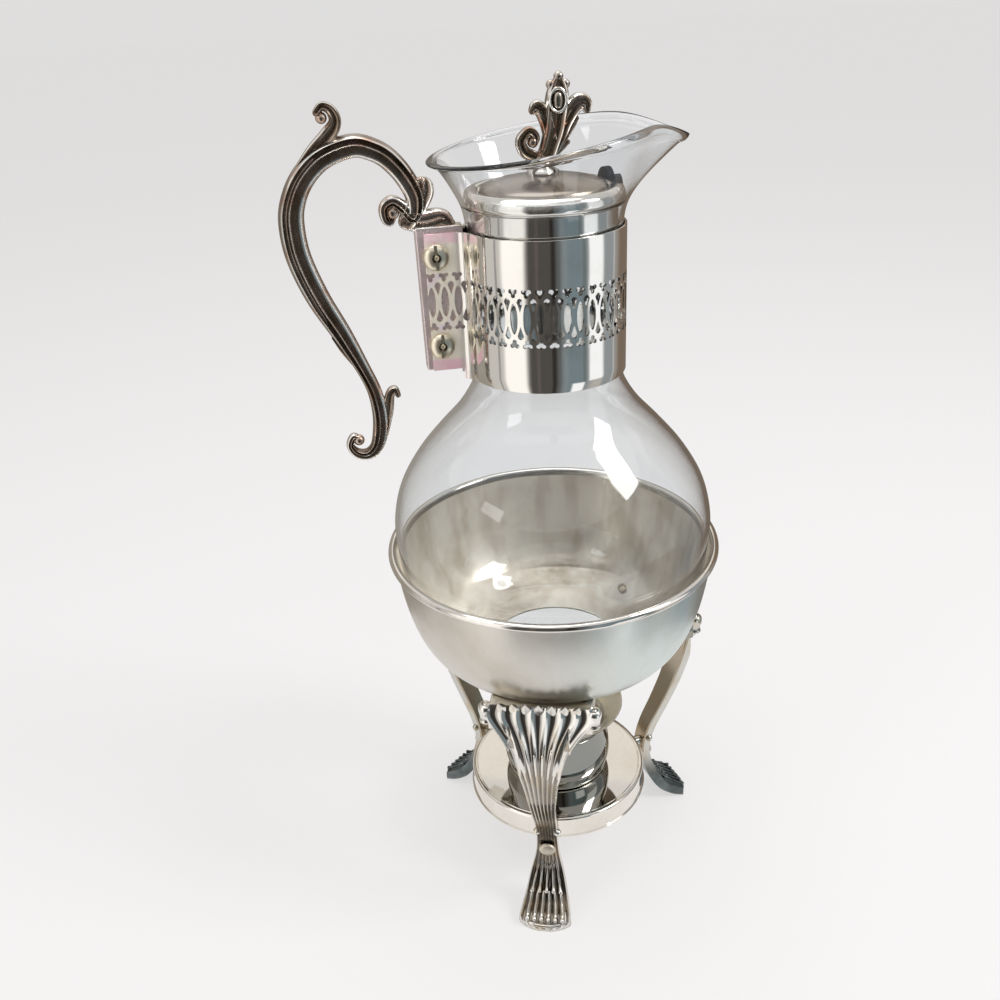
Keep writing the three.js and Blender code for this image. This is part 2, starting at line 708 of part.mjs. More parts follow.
function clampScrew(height) {
  const shank = 2 * earOuterFace + clampNutHeight + 2 * seatGap;
  const screw = solidOf(domeScrew(clampScrewRadius, shank, clampHeadRadius, clampHeadHeight));
  const slot = solidOf(block(
    [-clampSlotWidth / 2, -clampHeadRadius - overrun, clampHeadHeight - clampSlotDepth],
    [clampSlotWidth / 2, clampHeadRadius + overrun, clampHeadHeight + overrun],
  ));
  const placed = geometryOf(screw.subtract(slot)).rotateX(Math.PI / 2);
  return placed.translate(-clampScrewPlace, -earOuterFace - seatGap, height);
}

function clampNut(height) {
  const bore = clampScrewRadius + screwClearance;
  const outline = [[bore, 0], [clampNutRadius, 0], [clampNutRadius, clampNutHeight], [bore, clampNutHeight]];
  const nut = revolved(closedRing(outline), nutSides).rotateX(-Math.PI / 2);
  return weld(nut.translate(-clampScrewPlace, earOuterFace + seatGap, height));
}

// Handle

// Stations of the grip from the volute over the ears round to the lower scroll: the way out
// from the ears' edge, the way up over the collar, or down where it is negative, and the
// shares of the grip's depth and width.
const gripShares = [
  [0.205, 0.165, 0.13, 0.5], [0.235, 0.11, 0.16, 0.62], [0.27, 0.135, 0.18, 0.7], [0.275, 0.23, 0.2, 0.75],
  [0.21, 0.28, 0.22, 0.8], [0.14, 0.23, 0.25, 0.85],
];
const gripArchShares = [
  [0.06, 0.14, 0.3, 0.9], [0.035, 0.3, 0.38, 0.95], [0.11, 0.48, 0.4, 1], [0.22, 0.625, 0.42, 1],
  [0.33, 0.7, 0.43, 1], [0.45, 0.735, 0.44, 1], [0.6, 0.7, 0.45, 1], [0.73, 0.63, 0.46, 1],
  [0.85, 0.5, 0.47, 1], [0.93, 0.34, 0.48, 1], [0.965, 0.16, 0.5, 1], [0.945, -0.06, 0.5, 1],
  [0.84, -0.23, 0.48, 1], [0.69, -0.395, 0.41, 0.95], [0.565, -0.545, 0.31, 0.9], [0.49, -0.655, 0.3, 0.85],
  [0.46, -0.765, 0.33, 0.85], [0.475, -0.86, 0.33, 0.8], [0.52, -0.925, 0.28, 0.75], [0.595, -0.955, 0.24, 0.7],
  [0.68, -0.945, 0.2, 0.65], [0.73, -0.905, 0.17, 0.6], [0.7, -0.865, 0.15, 0.55], [0.655, -0.875, 0.13, 0.5],
];
const thumbScrollShares = [
  [0.885, 0.57, 0.1, 0.4], [0.75, 0.71, 0.24, 0.7], [0.63, 0.82, 0.3, 0.8], [0.565, 0.92, 0.24, 0.75],
  [0.585, 1.01, 0.2, 0.7], [0.645, 1.045, 0.17, 0.65], [0.69, 1, 0.14, 0.6],
];
const lowerLeafShares = [
  [0.465, -0.86, 0.3, 0.6], [0.4, -0.76, 0.26, 0.6], [0.365, -0.685, 0.2, 0.55], [0.325, -0.665, 0.17, 0.5],
  [0.3, -0.69, 0.12, 0.4],
];
const leafNibShares = [[0.6, -0.53, 0.2, 0.5], [0.69, -0.46, 0.18, 0.45], [0.765, -0.405, 0.06, 0.3]];
const upperLobeShares = [
  [0.11, 0.1, 0.36, 0.8], [0.03, 0.22, 0.44, 0.8], [-0.04, 0.35, 0.44, 0.7], [-0.04, 0.44, 0.22, 0.5],
];
const rootLobeShares = [
  [0.12, 0.1, 0.3, 0.8], [-0.02, 0.09, 0.46, 0.75], [-0.15, 0.11, 0.38, 0.65], [-0.225, 0.06, 0.18, 0.5],
];

function gripPlace([outShare, upShare, depthShare, widthShare]) {
  const rise = upShare > 0 ? gripRise : gripDrop;
  return [
    -earEdge - outShare * gripReach, collarTopHeight + upShare * rise,
    depthShare * gripDepth, widthShare * gripWidth / 2,
  ];
}

function gripPart(shares, steps) {
  return smoothSweep(shares.map(gripPlace), steps, sweepSides);
}

// The flat tongue of the handle between the ears, wider at its top.
function handleTang() {
  const inner = -collarRadius - seatGap;
  const shape = new THREE.Shape([
    new THREE.Vector2(inner, earFootHeight),
    new THREE.Vector2(inner, collarTopHeight + tangRise),
    new THREE.Vector2(-earEdge - tangTopOverhang, collarTopHeight + tangRise),
    new THREE.Vector2(-earEdge - tangFootOverhang, earFootHeight),
  ]);
  const plate = new THREE.ExtrudeGeometry(shape, { depth: tangThickness, bevelEnabled: false });
  return solidOf(plate.rotateX(Math.PI / 2).translate(0, tangThickness / 2, 0));
}

function handle() {
  const parts = [
    gripPart([...gripShares, ...gripArchShares], 48), gripPart(thumbScrollShares, 10),
    gripPart(lowerLeafShares, 7), gripPart(leafNibShares, 4), gripPart(upperLobeShares, 6),
    gripPart(rootLobeShares, 6), handleTang(),
  ];
  const earRoom = [-1, 1].map((side) => {
    const faces = [side * (earInnerFace - seatGap), side * (earOuterFace + seatGap)].sort((a, b) => a - b);
    const low = [-earEdge - seatGap, faces[0], collarFootHeight - overrun];
    return solidOf(block(low, [0, faces[1], collarTopHeight + seatGap]));
  });
  const glassRoom = turnedSolid(glassRoomOutline(), bodyFacets);
  const cutters = [...earRoom, clampHole(upperScrewHeight), clampHole(lowerScrewHeight), glassRoom];
  return geometryOf(cutFrom(joined(parts), cutters));
}

// The space of the neck and mouth, grown by the seat gap.
function glassRoomOutline() {
  const mouth = mouthShares.map(([outShare, upShare]) => [
    between(neckRadius, mouthRadius, outShare) + collarWall + 2 * seatGap,
    between(neckTopHeight, mouthTopHeight, upShare),
  ]);
  const top = mouthTopHeight + overrun;
  return [[0, collarFootHeight], [collarRadius + seatGap, collarFootHeight], ...mouth, [0, top]];
}

// Lid

const lidSkirtRadius = neckRadius - glassWall - lidSkirtClearance;
// The shoulder's widest point meets the funnel's inside at this share of its height.
const shoulderSeatShare = 0.36;
const lidGrooveShare = 0.3; // of the way out from the cap to the skirt
const lidNotchFootShare = 0.3; // of the way up the shoulder
const linerTopShare = 0.5;
const shoulderSeatHeight = heightOnLine(offsetLine(mouthLine(), glassWall), lidShoulderRadius + seatGap);
const seatRise = mouthRiseAt(lidShoulderRadius, (shoulderSeatHeight - neckTopHeight) / mouthHeight);
const lidSeat = shoulderSeatHeight + seatRise - shoulderSeatShare * lidShoulderHeight;
const lidShoulderTop = lidSeat + lidShoulderHeight;
const lidCapHeight = lidShoulderTop - lidWall;
const lidDomeTop = lidCapHeight + lidDomeRise;
const skirtFoot = lidSeat - lidSkirtDepth;
// The shoulder, as shares of the ways from the skirt's radius to the shoulder's and up its height.
const shoulderShares = [
  [0.25, 0.02], [0.6, 0.07], [1, shoulderSeatShare], [1.04, 0.56], [0.8, 0.82], [0.2, 0.98], [-0.4, 1],
];

function lidOutside() {
  const shoulder = shoulderShares.map(([outShare, upShare]) => [
    between(lidSkirtRadius, lidShoulderRadius, outShare), between(lidSeat, lidShoulderTop, upShare),
  ]);
  const groove = [[between(lidCapRadius, lidSkirtRadius, lidGrooveShare), lidCapHeight - lidWall / 2]];
  const dome = [0, 0.3, 0.6].map((inShare) => [
    between(lidCapRadius, studRadius, inShare), lidCapHeight + lidDomeRise * (1 - (1 - inShare) ** 2),
  ]);
  return [[lidSkirtRadius, skirtFoot], ...shoulder, ...groove, ...dome];
}

function lidNotch() {
  const places = [-1, 1].map((side) => {
    const lobe = rod(lidNotchRadius, lidShoulderHeight + overrun, smallFacets);
    const placed = lobe.translate(lidShoulderRadius, 0, between(lidSeat, lidShoulderTop, lidNotchFootShare));
    return solidOf(placed.rotateZ(lidNotchTurn + side * lidNotchSpread));
  });
  return joined(places);
}

function lidCover() {
  const outside = lidOutside();
  const bore = studRadius + screwClearance;
  const inside = offsetLine(outside, lidWall).reverse();
  inside[inside.length - 1] = [lidSkirtRadius - lidWall, skirtFoot];
  const crown = [[bore, lidDomeTop], [bore, lidDomeTop - lidWall]];
  const shell = turnedSolid(closedRing([...outside, ...crown, ...inside]), bodyFacets);
  return geometryOf(shell.subtract(lidNotch()));
}

// The black liner inside the skirt, which closes the notch from within.
function lidLiner() {
  const outer = lidSkirtRadius - lidWall - seatGap;
  const inner = outer - linerWall;
  const top = between(lidSeat, lidShoulderTop, linerTopShare);
  const outline = [[inner, skirtFoot], [outer, skirtFoot], [outer, lidSeat], [outer, top], [inner, top]];
  return weld(revolved(closedRing(outline), bodyFacets));
}

// The finial, as shares of its width to either side and of its height over the dome.
const finialTrunkShares = [
  [0, 0, 0.15, 0.9], [0, 0.05, 0.12, 0.8], [0.03, 0.13, 0.08, 0.75], [0.09, 0.25, 0.11, 0.9],
  [0.15, 0.42, 0.14, 1], [0.19, 0.6, 0.16, 1], [0.215, 0.75, 0.16, 0.9], [0.235, 0.88, 0.15, 0.75],
  [0.25, 0.96, 0.1, 0.6], [0.255, 1, 0.04, 0.4],
];
const finialRightLeafShares = [
  [0.1, 0.15, 0.07, 0.6], [0.26, 0.38, 0.1, 0.75], [0.4, 0.58, 0.12, 0.75], [0.54, 0.72, 0.11, 0.65],
  [0.65, 0.7, 0.06, 0.5],
];
const finialLeftLeafShares = [
  [0.1, 0.37, 0.08, 0.7], [0.05, 0.57, 0.09, 0.7], [-0.01, 0.68, 0.08, 0.6], [-0.09, 0.7, 0.05, 0.45],
];
const finialScrollShares = [
  [0.03, 0.1, 0.06, 0.7], [-0.1, 0.16, 0.07, 0.8], [-0.22, 0.22, 0.07, 0.8], [-0.26, 0.33, 0.065, 0.75],
  [-0.16, 0.42, 0.055, 0.7], [-0.08, 0.36, 0.05, 0.65], [-0.11, 0.29, 0.045, 0.6],
];
const finialSpurShares = [[0.14, 0.2, 0.05, 0.6], [0.29, 0.28, 0.06, 0.5], [0.4, 0.32, 0.03, 0.4]];

function finialPart(shares, steps) {
  const stations = shares.map(([outShare, upShare, depthShare, thicknessShare]) => [
    outShare * finialWidth, lidDomeTop + seatGap + upShare * finialHeight,
    depthShare * finialWidth, thicknessShare * finialThickness / 2,
  ]);
  return smoothSweep(stations, steps, sweepSides);
}

function lidFinial() {
  const stud = rod(studRadius, studLength + finialThickness / 2, smallFacets);
  const base = rod(finialThickness / 2, lidWall, smallFacets);
  return geometryOf(joined([
    finialPart(finialTrunkShares, 18), finialPart(finialRightLeafShares, 8), finialPart(finialLeftLeafShares, 6),
    finialPart(finialScrollShares, 14), finialPart(finialSpurShares, 4),
    solidOf(base.translate(0, 0, lidDomeTop + seatGap)),
    solidOf(stud.translate(0, 0, lidDomeTop + seatGap - studLength)),
  ]));
}

function finialNut() {
  const bore = studRadius + screwClearance;
  const foot = lidDomeTop - lidWall - seatGap - finialNutHeight;
  const top = foot + finialNutHeight;
  const outline = [[bore, foot], [finialNutRadius, foot], [finialNutRadius, top], [bore, top]];
  return weld(revolved(closedRing(outline), nutSides));
}

// The whole object: the stand with its burner, and the carafe with its lid.

const legNames = ['spout_side', 'rear', 'front'];
const legOrder = legNames.map((name, leg) => ({ name, leg }));

function stand() {
  const group = new THREE.Group();
  group.add(piece('warmer_bowl', warmerBowl(), silver));
  const legGeometry = leg();
  for (const { name, leg: place } of legOrder) {
    const legMesh = piece(`leg_${name}`, legGeometry, castSilver);
    legMesh.rotation.z = legAzimuth(place);
    group.add(legMesh);
    bowlScrewAzimuths(place).forEach((azimuth, side) => {
      group.add(piece(`bowl_screw_${name}_${side + 1}`, bowlScrew(azimuth), brass));
    });
    group.add(piece(`tray_screw_${name}`, trayScrew(legAzimuth(place)), brass));
  }
  group.add(piece('burner_tray', burnerTray(), silver));
  return group;
}

function burner() {
  const group = new THREE.Group();
  group.add(piece('burner_cup', burnerCup(), silver));
  group.add(piece('candle_tin', candleTin(), aluminium));
  group.add(piece('candle_wax', candleWax(), paraffin));
  group.add(piece('candle_wick', candleWick(), cotton));
  return group;
}

function carafe() {
  const group = new THREE.Group();
  group.add(piece('carafe_glass', carafeGlass(), clearGlass));
  group.add(piece('neck_collar', neckCollar(), silver));
  group.add(piece('handle', handle(), darkSilver));
  group.add(piece('clamp_screw_upper', clampScrew(upperScrewHeight), brass));
  group.add(piece('clamp_screw_lower', clampScrew(lowerScrewHeight), brass));
  group.add(piece('clamp_nut_upper', clampNut(upperScrewHeight), brass));
  group.add(piece('clamp_nut_lower', clampNut(lowerScrewHeight), brass));
  return group;
}

function lid() {
  const group = new THREE.Group();
  group.add(piece('lid_cover', lidCover(), silver));
  group.add(piece('lid_liner', lidLiner(), blackPlastic));
  group.add(piece('lid_finial', lidFinial(), darkSilver));
  group.add(piece('finial_nut', finialNut(), brass));
  return group;
}

// The origin is the middle of the object's footprint, on the table.
function standingOnOrigin(parts) {
  const whole = new THREE.Group();
  whole.add(...parts);
  const box = new THREE.Box3().setFromObject(whole, true);
  const middle = box.getCenter(new THREE.Vector3());
  whole.position.set(-middle.x, -middle.y, -box.min.z);
  const group = new THREE.Group();
  group.add(whole);
  return group;
}

const group = standingOnOrigin([stand(), burner(), carafe(), lid()]);

export default group;
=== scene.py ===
"""The looks of a coffee carafe on its warmer stand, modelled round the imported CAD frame.

Laid out as a Blender add-on and run as a script. Each piece, or group of like pieces, has an
operator of its own, and main() calls them from the table upwards. Outlines and places are in
millimetres from the axis of the carafe and from the table, with the spout towards +X.
"""

import math

import bpy
from bpy.props import FloatProperty, FloatVectorProperty, IntProperty, PointerProperty
from mathutils import Matrix, Vector


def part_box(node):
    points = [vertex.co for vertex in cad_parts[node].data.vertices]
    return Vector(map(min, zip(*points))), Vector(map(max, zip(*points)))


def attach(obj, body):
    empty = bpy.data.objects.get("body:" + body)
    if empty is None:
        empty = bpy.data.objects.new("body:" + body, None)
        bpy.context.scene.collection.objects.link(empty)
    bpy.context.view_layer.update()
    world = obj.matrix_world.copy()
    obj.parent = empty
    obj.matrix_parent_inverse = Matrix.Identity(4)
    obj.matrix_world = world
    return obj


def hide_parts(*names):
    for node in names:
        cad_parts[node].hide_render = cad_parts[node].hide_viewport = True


bl_info = {
    "name": "Coffee Carafe With Warmer",
    "version": (1, 0, 0),
    "blender": (4, 5, 0),
    "location": "3D View > Sidebar > Carafe",
    "description": "Models a glass carafe with a pierced silver collar on its footed warmer",
    "category": "Add Mesh",
}

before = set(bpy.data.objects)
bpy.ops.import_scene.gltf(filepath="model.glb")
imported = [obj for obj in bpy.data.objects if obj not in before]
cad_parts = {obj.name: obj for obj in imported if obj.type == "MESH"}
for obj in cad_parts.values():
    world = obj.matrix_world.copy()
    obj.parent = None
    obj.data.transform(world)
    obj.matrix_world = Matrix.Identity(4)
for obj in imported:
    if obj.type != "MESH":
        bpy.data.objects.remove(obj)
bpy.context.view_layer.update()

MM = 0.001
MERGE = 1e-6
QUARTER = math.pi / 2


def low(node):
    """A CAD node's lowest corner in millimetres."""
    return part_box(node)[0] / MM


def high(node):
    """A CAD node's highest corner in millimetres."""
    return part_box(node)[1] / MM


def breadth(node):
    """A CAD node's width across the spout's direction, in metres."""
    return (high(node).y - low(node).y) * MM


AXIS = Vector(((low("candle_tin").x + high("candle_tin").x) / 2, 0, 0))
ON_AXIS = Matrix.Translation(AXIS * MM)

# Warmer bowl: its floor slopes up from the heat hole to a crease, where the wall starts
RIM_HEIGHT = high("warmer_bowl").z
RIM_BEAD = 1.7
SHEET = 1
HOLE_RADIUS = 28
HOLE_HEIGHT = low("warmer_bowl").z
CREASE_RADIUS = 53
CREASE_HEIGHT = HOLE_HEIGHT + 7.7
FLOOR_SLOPE = math.atan2(7.7, CREASE_RADIUS - HOLE_RADIUS)

# Tray and legs
TRAY_TOP = high("burner_tray").z
TRAY_RADIUS = 40.8
LEG_NAMES = ("spout_side", "rear", "front")
LEG_TURN = math.radians(11.5)

# Glass
GLASS_WALL = 1.6
GLASS_FOOT = low("carafe_glass").z
NECK_RADIUS = 29.3
NECK_FOOT = low("neck_collar").z - 1.4
NECK_TOP = NECK_FOOT + 58.5
MOUTH_RADIUS = 40.6
MOUTH_HEIGHT = 27.4

# Collar, with the two ears that clamp the handle's tongue
COLLAR_FOOT = low("neck_collar").z
COLLAR_TOP = high("neck_collar").z
COLLAR_RADIUS = 30.5
EAR_EDGE = 45.3
EAR_FACE = 4.2
EAR_LIFT = 4.2
SCREW_REACH = 41.4
SCREW_HEIGHTS = (COLLAR_TOP - 8.4, COLLAR_FOOT + 14)


class StandSizes(bpy.types.PropertyGroup):
    """Sizes of the warmer stand"""

    rim_radius: FloatProperty(
        name="Rim radius", description="Radius of the bowl over its rolled rim",
        default=breadth("warmer_bowl") / 2, unit="LENGTH")
    flutes: IntProperty(
        name="Flutes", description="Hollow flutes down the front of each leg", default=7, min=3, max=11)
    head_width: FloatProperty(
        name="Head width", description="Width of a leg at its head", default=0.0434, unit="LENGTH")


class CarafeSizes(bpy.types.PropertyGroup):
    """Sizes of the glass carafe, its collar and its handle"""

    bulb_radius: FloatProperty(
        name="Bulb radius", description="Radius of the glass at its widest",
        default=breadth("carafe_glass") / 2, unit="LENGTH")
    piercings: IntProperty(
        name="Piercings", description="Tall openings in a full turn of the collar",
        default=39, min=12, max=60)
    grip_width: FloatProperty(
        name="Grip width", description="Width of the handle's scroll", default=0.0074, unit="LENGTH")


class Finishes(bpy.types.PropertyGroup):
    """Colours of the materials"""

    silver: FloatVectorProperty(
        name="Silver", description="Clean silver plate", subtype="COLOR", default=(0.86, 0.835, 0.79))
    stain: FloatVectorProperty(
        name="Stain", description="Brown tarnish on the plate", subtype="COLOR", default=(0.42, 0.32, 0.21))
    soot: FloatVectorProperty(
        name="Dark tarnish", description="Nearly black tarnish on the castings", subtype="COLOR",
        default=(0.055, 0.043, 0.036))
    copper: FloatVectorProperty(
        name="Copper", description="Copper that shows where the plate is worn", subtype="COLOR",
        default=(0.62, 0.33, 0.2))
    glass: FloatVectorProperty(
        name="Glass", description="Tint of the glass", subtype="COLOR", default=(0.915, 0.928, 0.936))


class StageLook(bpy.types.PropertyGroup):
    """Floor and light"""

    floor: FloatVectorProperty(
        name="Floor", description="Colour of the floor and backdrop", subtype="COLOR",
        default=(0.94, 0.928, 0.925))
    window: FloatProperty(
        name="Window", description="Power of the window light in watts", default=5.0, min=0)


def settings():
    """The sizes and colours that the operators read."""
    return bpy.context.scene.carafe_with_warmer


# Lines


def eased(points, steps):
    """A smooth line through points, cut into so many steps."""
    last = len(points) - 1
    line = []
    for step in range(steps + 1):
        place = last * step / steps
        start = min(int(place), last - 1)
        t = place - start
        a, b, c, d = (points[min(max(start + k, 0), last)] for k in (-1, 0, 1, 2))
        line.append(tuple(
            (2 * q - 2 * r + (r - p) / 2 + (s - q) / 2) * t ** 3
            + (3 * r - 3 * q - (r - p) - (s - q) / 2) * t ** 2 + (r - p) / 2 * t + q
            for p, q, r, s in zip(a, b, c, d)))
    return line


def arc(centre, radius, start, end, steps):
    """Points on an arc, with its angles in degrees."""
    angles = [math.radians(start + (end - start) * k / steps) for k in range(steps + 1)]
    return [(centre[0] + radius * math.cos(a), centre[1] + radius * math.sin(a)) for a in angles]


def beside(line, distance):
    """The line moved to its left."""
    moved = []
    for k, (x, y) in enumerate(line):
        (x0, y0), (x1, y1) = line[max(k - 1, 0)], line[min(k + 1, len(line) - 1)]
        run = math.hypot(x1 - x0, y1 - y0)
        moved.append((x - (y1 - y0) / run * distance, y + (x1 - x0) / run * distance))
    return moved


def between(start, end, share):
    """The value so far along the way from start to end."""
    return start + (end - start) * share


def stretched(shares, start, end):
    """A line given as shares of the way from one corner to another."""
    return [(between(start[0], end[0], out), between(start[1], end[1], up)) for out, up in shares]


def raised(outline, height, radius=0):
    """An outline of radii and heights, moved up to a height and out to a radius."""
    return [(radius + out, height + up) for out, up in outline]


def at(x, y, z):
    """A move by millimetres."""
    return Matrix.Translation(Vector((x, y, z)) * MM)


def about(axis, angle):
    """A turn about an axis."""
    return Matrix.Rotation(angle, 4, axis)


# Modelling by hand


def pick(*pieces):
    """Selects these pieces alone, or nothing, and makes the first one active."""
    bpy.ops.object.select_all(action="DESELECT")
    for piece in pieces:
        piece.select_set(True)
        bpy.context.view_layer.objects.active = pieces[0]


def start_piece(name, corner):
    """A new piece in edit mode with one selected corner, in millimetres."""
    pick()
    bpy.ops.mesh.primitive_plane_add(size=MM, location=Vector(corner) * MM, enter_editmode=True)
    bpy.ops.mesh.merge(type="CENTER")
    piece = bpy.context.object
    piece.name = piece.data.name = name
    return piece


def extrude(way):
    """Extrudes what is selected by a distance in millimetres."""
    bpy.ops.mesh.extrude_region_move(TRANSFORM_OT_translate={"value": Vector(way) * MM})


def draw(corners):
    """Extrudes the selected corner along a line."""
    for start, end in zip(corners, corners[1:]):
        extrude(Vector(end) - Vector(start))


def start_face(name, corners, merge=MERGE):
    """A new piece in edit mode that is one filled face."""
    piece = start_piece(name, corners[0])
    draw([*corners, corners[0]])
    bpy.ops.mesh.select_all(action="SELECT")
    bpy.ops.mesh.remove_doubles(threshold=merge)
    bpy.ops.mesh.select_all(action="SELECT")
    bpy.ops.mesh.edge_face_add()
    return piece


def close_piece(piece, smooth=32):
    """Joins equal corners, turns the faces outwards and smooths the shading."""
    bpy.ops.mesh.select_all(action="SELECT")
    bpy.ops.mesh.remove_doubles(threshold=MERGE)
    bpy.ops.mesh.normals_make_consistent(inside=False)
    bpy.ops.object.mode_set(mode="OBJECT")
    return settle(piece, smooth)


def settle(piece, smooth=32):
    """Puts the piece's place into its mesh and smooths the shading."""
    pick(piece)
    bpy.ops.object.transform_apply(location=True, rotation=True, scale=True)
    bpy.ops.object.shade_smooth_by_angle(angle=math.radians(smooth))
    return piece


def turned(name, outline, facets=144, smooth=32):
    """A piece turned about the Z axis from an outline of radii and heights."""
    corners = [(radius, 0, height) for radius, height in outline]
    piece = start_piece(name, corners[0])
    draw(corners)
    bpy.ops.mesh.select_all(action="SELECT")
    bpy.ops.mesh.spin(steps=facets, angle=math.tau, center=(0, 0, 0), axis=(0, 0, 1))
    return close_piece(piece, smooth)


def bar(name, radius, start, end, facets):
    """A plain round bar along Z."""
    return turned(name, [(0, start), (radius, start), (radius, end), (0, end)], facets)


def filled(name, corners, way):
    """A flat outline, filled and extruded."""
    piece = start_face(name, corners)
    extrude(way)
    return close_piece(piece)


def block(name, start, end):
    """A block from its lowest to its highest corner."""
    (x0, y0, z0), (x1, y1, z1) = start, end
    return filled(name, [(x0, y0, z0), (x1, y0, z0), (x1, y0, z1), (x0, y0, z1)], (0, y1 - y0, 0))


def rounded_ends(stations):
    """Adds stations that close a sweep with a round nose at each end."""
    def nose(end, inner):
        run = Vector(end[:2]) - Vector(inner[:2])
        way = run.normalized() * min(end[2], end[3])
        return [(end[0] + way.x * out, end[1] + way.y * out, end[2] * size, end[3] * size)
                for out, size in ((0.38, 0.9), (0.7, 0.68), (0.9, 0.4), (0.98, 0.15))]
    return [*reversed(nose(stations[0], stations[1])), *stations, *nose(stations[-1], stations[-2])]


def swept(name, stations, section, smooth=50):
    """A section swept along stations in the X-Z plane: place, half depth and half width."""
    headings = []
    for k in range(len(stations)):
        before, after = stations[max(k - 1, 0)], stations[min(k + 1, len(stations) - 1)]
        headings.append(math.atan2(after[1] - before[1], after[0] - before[0]))
    x, z, depth, width = stations[0]
    normal = (-math.sin(headings[0]), math.cos(headings[0]))
    corners = [(x + normal[0] * u * depth, v * width, z + normal[1] * u * depth) for u, v in section]
    piece = start_face(name, corners, MERGE / 10)
    for k in range(1, len(stations)):
        old, new = stations[k - 1], stations[k]
        centre = Vector((new[0], 0, new[1])) * MM
        turn = math.remainder(headings[k] - headings[k - 1], math.tau)
        extrude((new[0] - old[0], 0, new[1] - old[1]))
        bpy.ops.transform.rotate(value=turn, orient_axis="Y", center_override=centre)
        grow = new[2] / old[2]
        bpy.ops.transform.resize(value=(grow, new[3] / old[3], grow), center_override=centre)
    return close_piece(piece, smooth)


def mirrored(half):
    """A whole section from the half on its +Y side."""
    return [*half, *((u, -v) for u, v in reversed(half) if abs(v) > 1e-6)]


def modified(piece, kind, **values):
    """Adds a modifier and applies it."""
    pick(piece)
    modifier = piece.modifiers.new(kind.title(), kind)
    for name, value in values.items():
        setattr(modifier, name, value)
    bpy.ops.object.modifier_apply(modifier=modifier.name)
    return piece


def rounded(piece, width, segments=2, **values):
    """Rounds a piece's sharp edges."""
    return modified(piece, "BEVEL", width=width * MM, segments=segments, limit_method="ANGLE", **values)


def cut(piece, cutter, operation="DIFFERENCE"):
    """Cuts the piece with another one, which is used up."""
    modified(piece, "BOOLEAN", object=cutter, operation=operation, solver="EXACT")
    bpy.data.objects.remove(cutter)
    return piece


def joined(piece, *others):
    """Makes several pieces one."""
    pick(piece, *others)
    bpy.ops.object.join()
    return piece


def moved(piece, matrix):
    """Moves the mesh of a piece."""
    piece.data.transform(matrix)
    piece.data.update()
    return piece


def copied(piece, name, matrix):
    """A copy with its own mesh at another place."""
    twin = piece.copy()
    twin.data = piece.data.copy()
    twin.name = twin.data.name = name
    bpy.context.collection.objects.link(twin)
    return moved(twin, matrix)


def discard(piece):
    """Takes away a piece that was only copied from."""
    bpy.data.objects.remove(piece)


def bead(name, spot, radius):
    """A small turned button whose axis lies across the handle's plane."""
    line = arc((0, 0), radius, -90, 90, 14)
    made = turned(name, [(0, -radius), *line[1:-1], (0, radius)], facets=28)
    return moved(made, at(*spot) @ about("X", QUARTER))


def shade_hollows(piece):
    """Paints how far each corner lies in a hollow, for the tarnish to gather there."""
    pick(piece)
    layer = piece.data.color_attributes.new("Hollows", "FLOAT_COLOR", "POINT")
    piece.data.color_attributes.active_color = layer
    bpy.ops.paint.vertex_color_dirt(
        blur_strength=0.8, blur_iterations=2, clean_angle=math.radians(112), dirt_angle=math.radians(68),
        dirt_only=False, normalize=True)


def fit(piece, body, slot, nodes, *finishes):
    """Puts a finished piece on the axis and its body and in place of CAD nodes. The slot is not used."""
    moved(piece, ON_AXIS)
    piece.data.materials.clear()
    for finish in finishes:
        piece.data.materials.append(finish)
    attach(piece, body)
    if nodes:
        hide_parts(*nodes)
    return piece


def share_finishes(piece, chosen):
    """Gives each face the finish whose number a rule picks from the face and its place."""
    for face in piece.data.polygons:
        face.material_index = int(chosen(face, face.center / MM - AXIS))


def paint_fastener(node, finish):
    """Gives a CAD screw or nut that stays in sight its finish."""
    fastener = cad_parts[node]
    fastener.data.materials.clear()
    fastener.data.materials.append(finish)


# Finishes


def connect(entry, value):
    """Links a reading to an input, or sets the input to a number or colour."""
    if isinstance(value, Reading):
        entry.id_data.links.new(value.socket, entry)
    else:
        entry.default_value = value


def maths(tree, operation, *values):
    """One step of arithmetic."""
    step = tree.nodes.new("ShaderNodeMath")
    step.operation = operation
    for entry, value in zip(step.inputs, values):
        connect(entry, value)
    return Reading(step.outputs[0])


class Reading:
    """A value on its way through a finish, with ordinary arithmetic."""

    def __init__(self, socket):
        self.socket = socket

    def step(self, operation, *values):
        """One step of arithmetic that starts from this reading."""
        return maths(self.socket.id_data, operation, self, *values)

    def __add__(self, other):
        return self.step("ADD", other)

    __radd__ = __add__

    def __mul__(self, other):
        return self.step("MULTIPLY", other)

    __rmul__ = __mul__

    def __sub__(self, other):
        return self.step("SUBTRACT", other)

    def __rsub__(self, other):
        return maths(self.socket.id_data, "SUBTRACT", other, self)

    def ramp(self, start, end):
        """0 up to start and 1 from end on, smooth between them."""
        scale = self.socket.id_data.nodes.new("ShaderNodeMapRange")
        scale.interpolation_type = "SMOOTHSTEP"
        for entry, value in zip(scale.inputs, (self, start, end, 0.0, 1.0)):
            connect(entry, value)
        return Reading(scale.outputs[0])


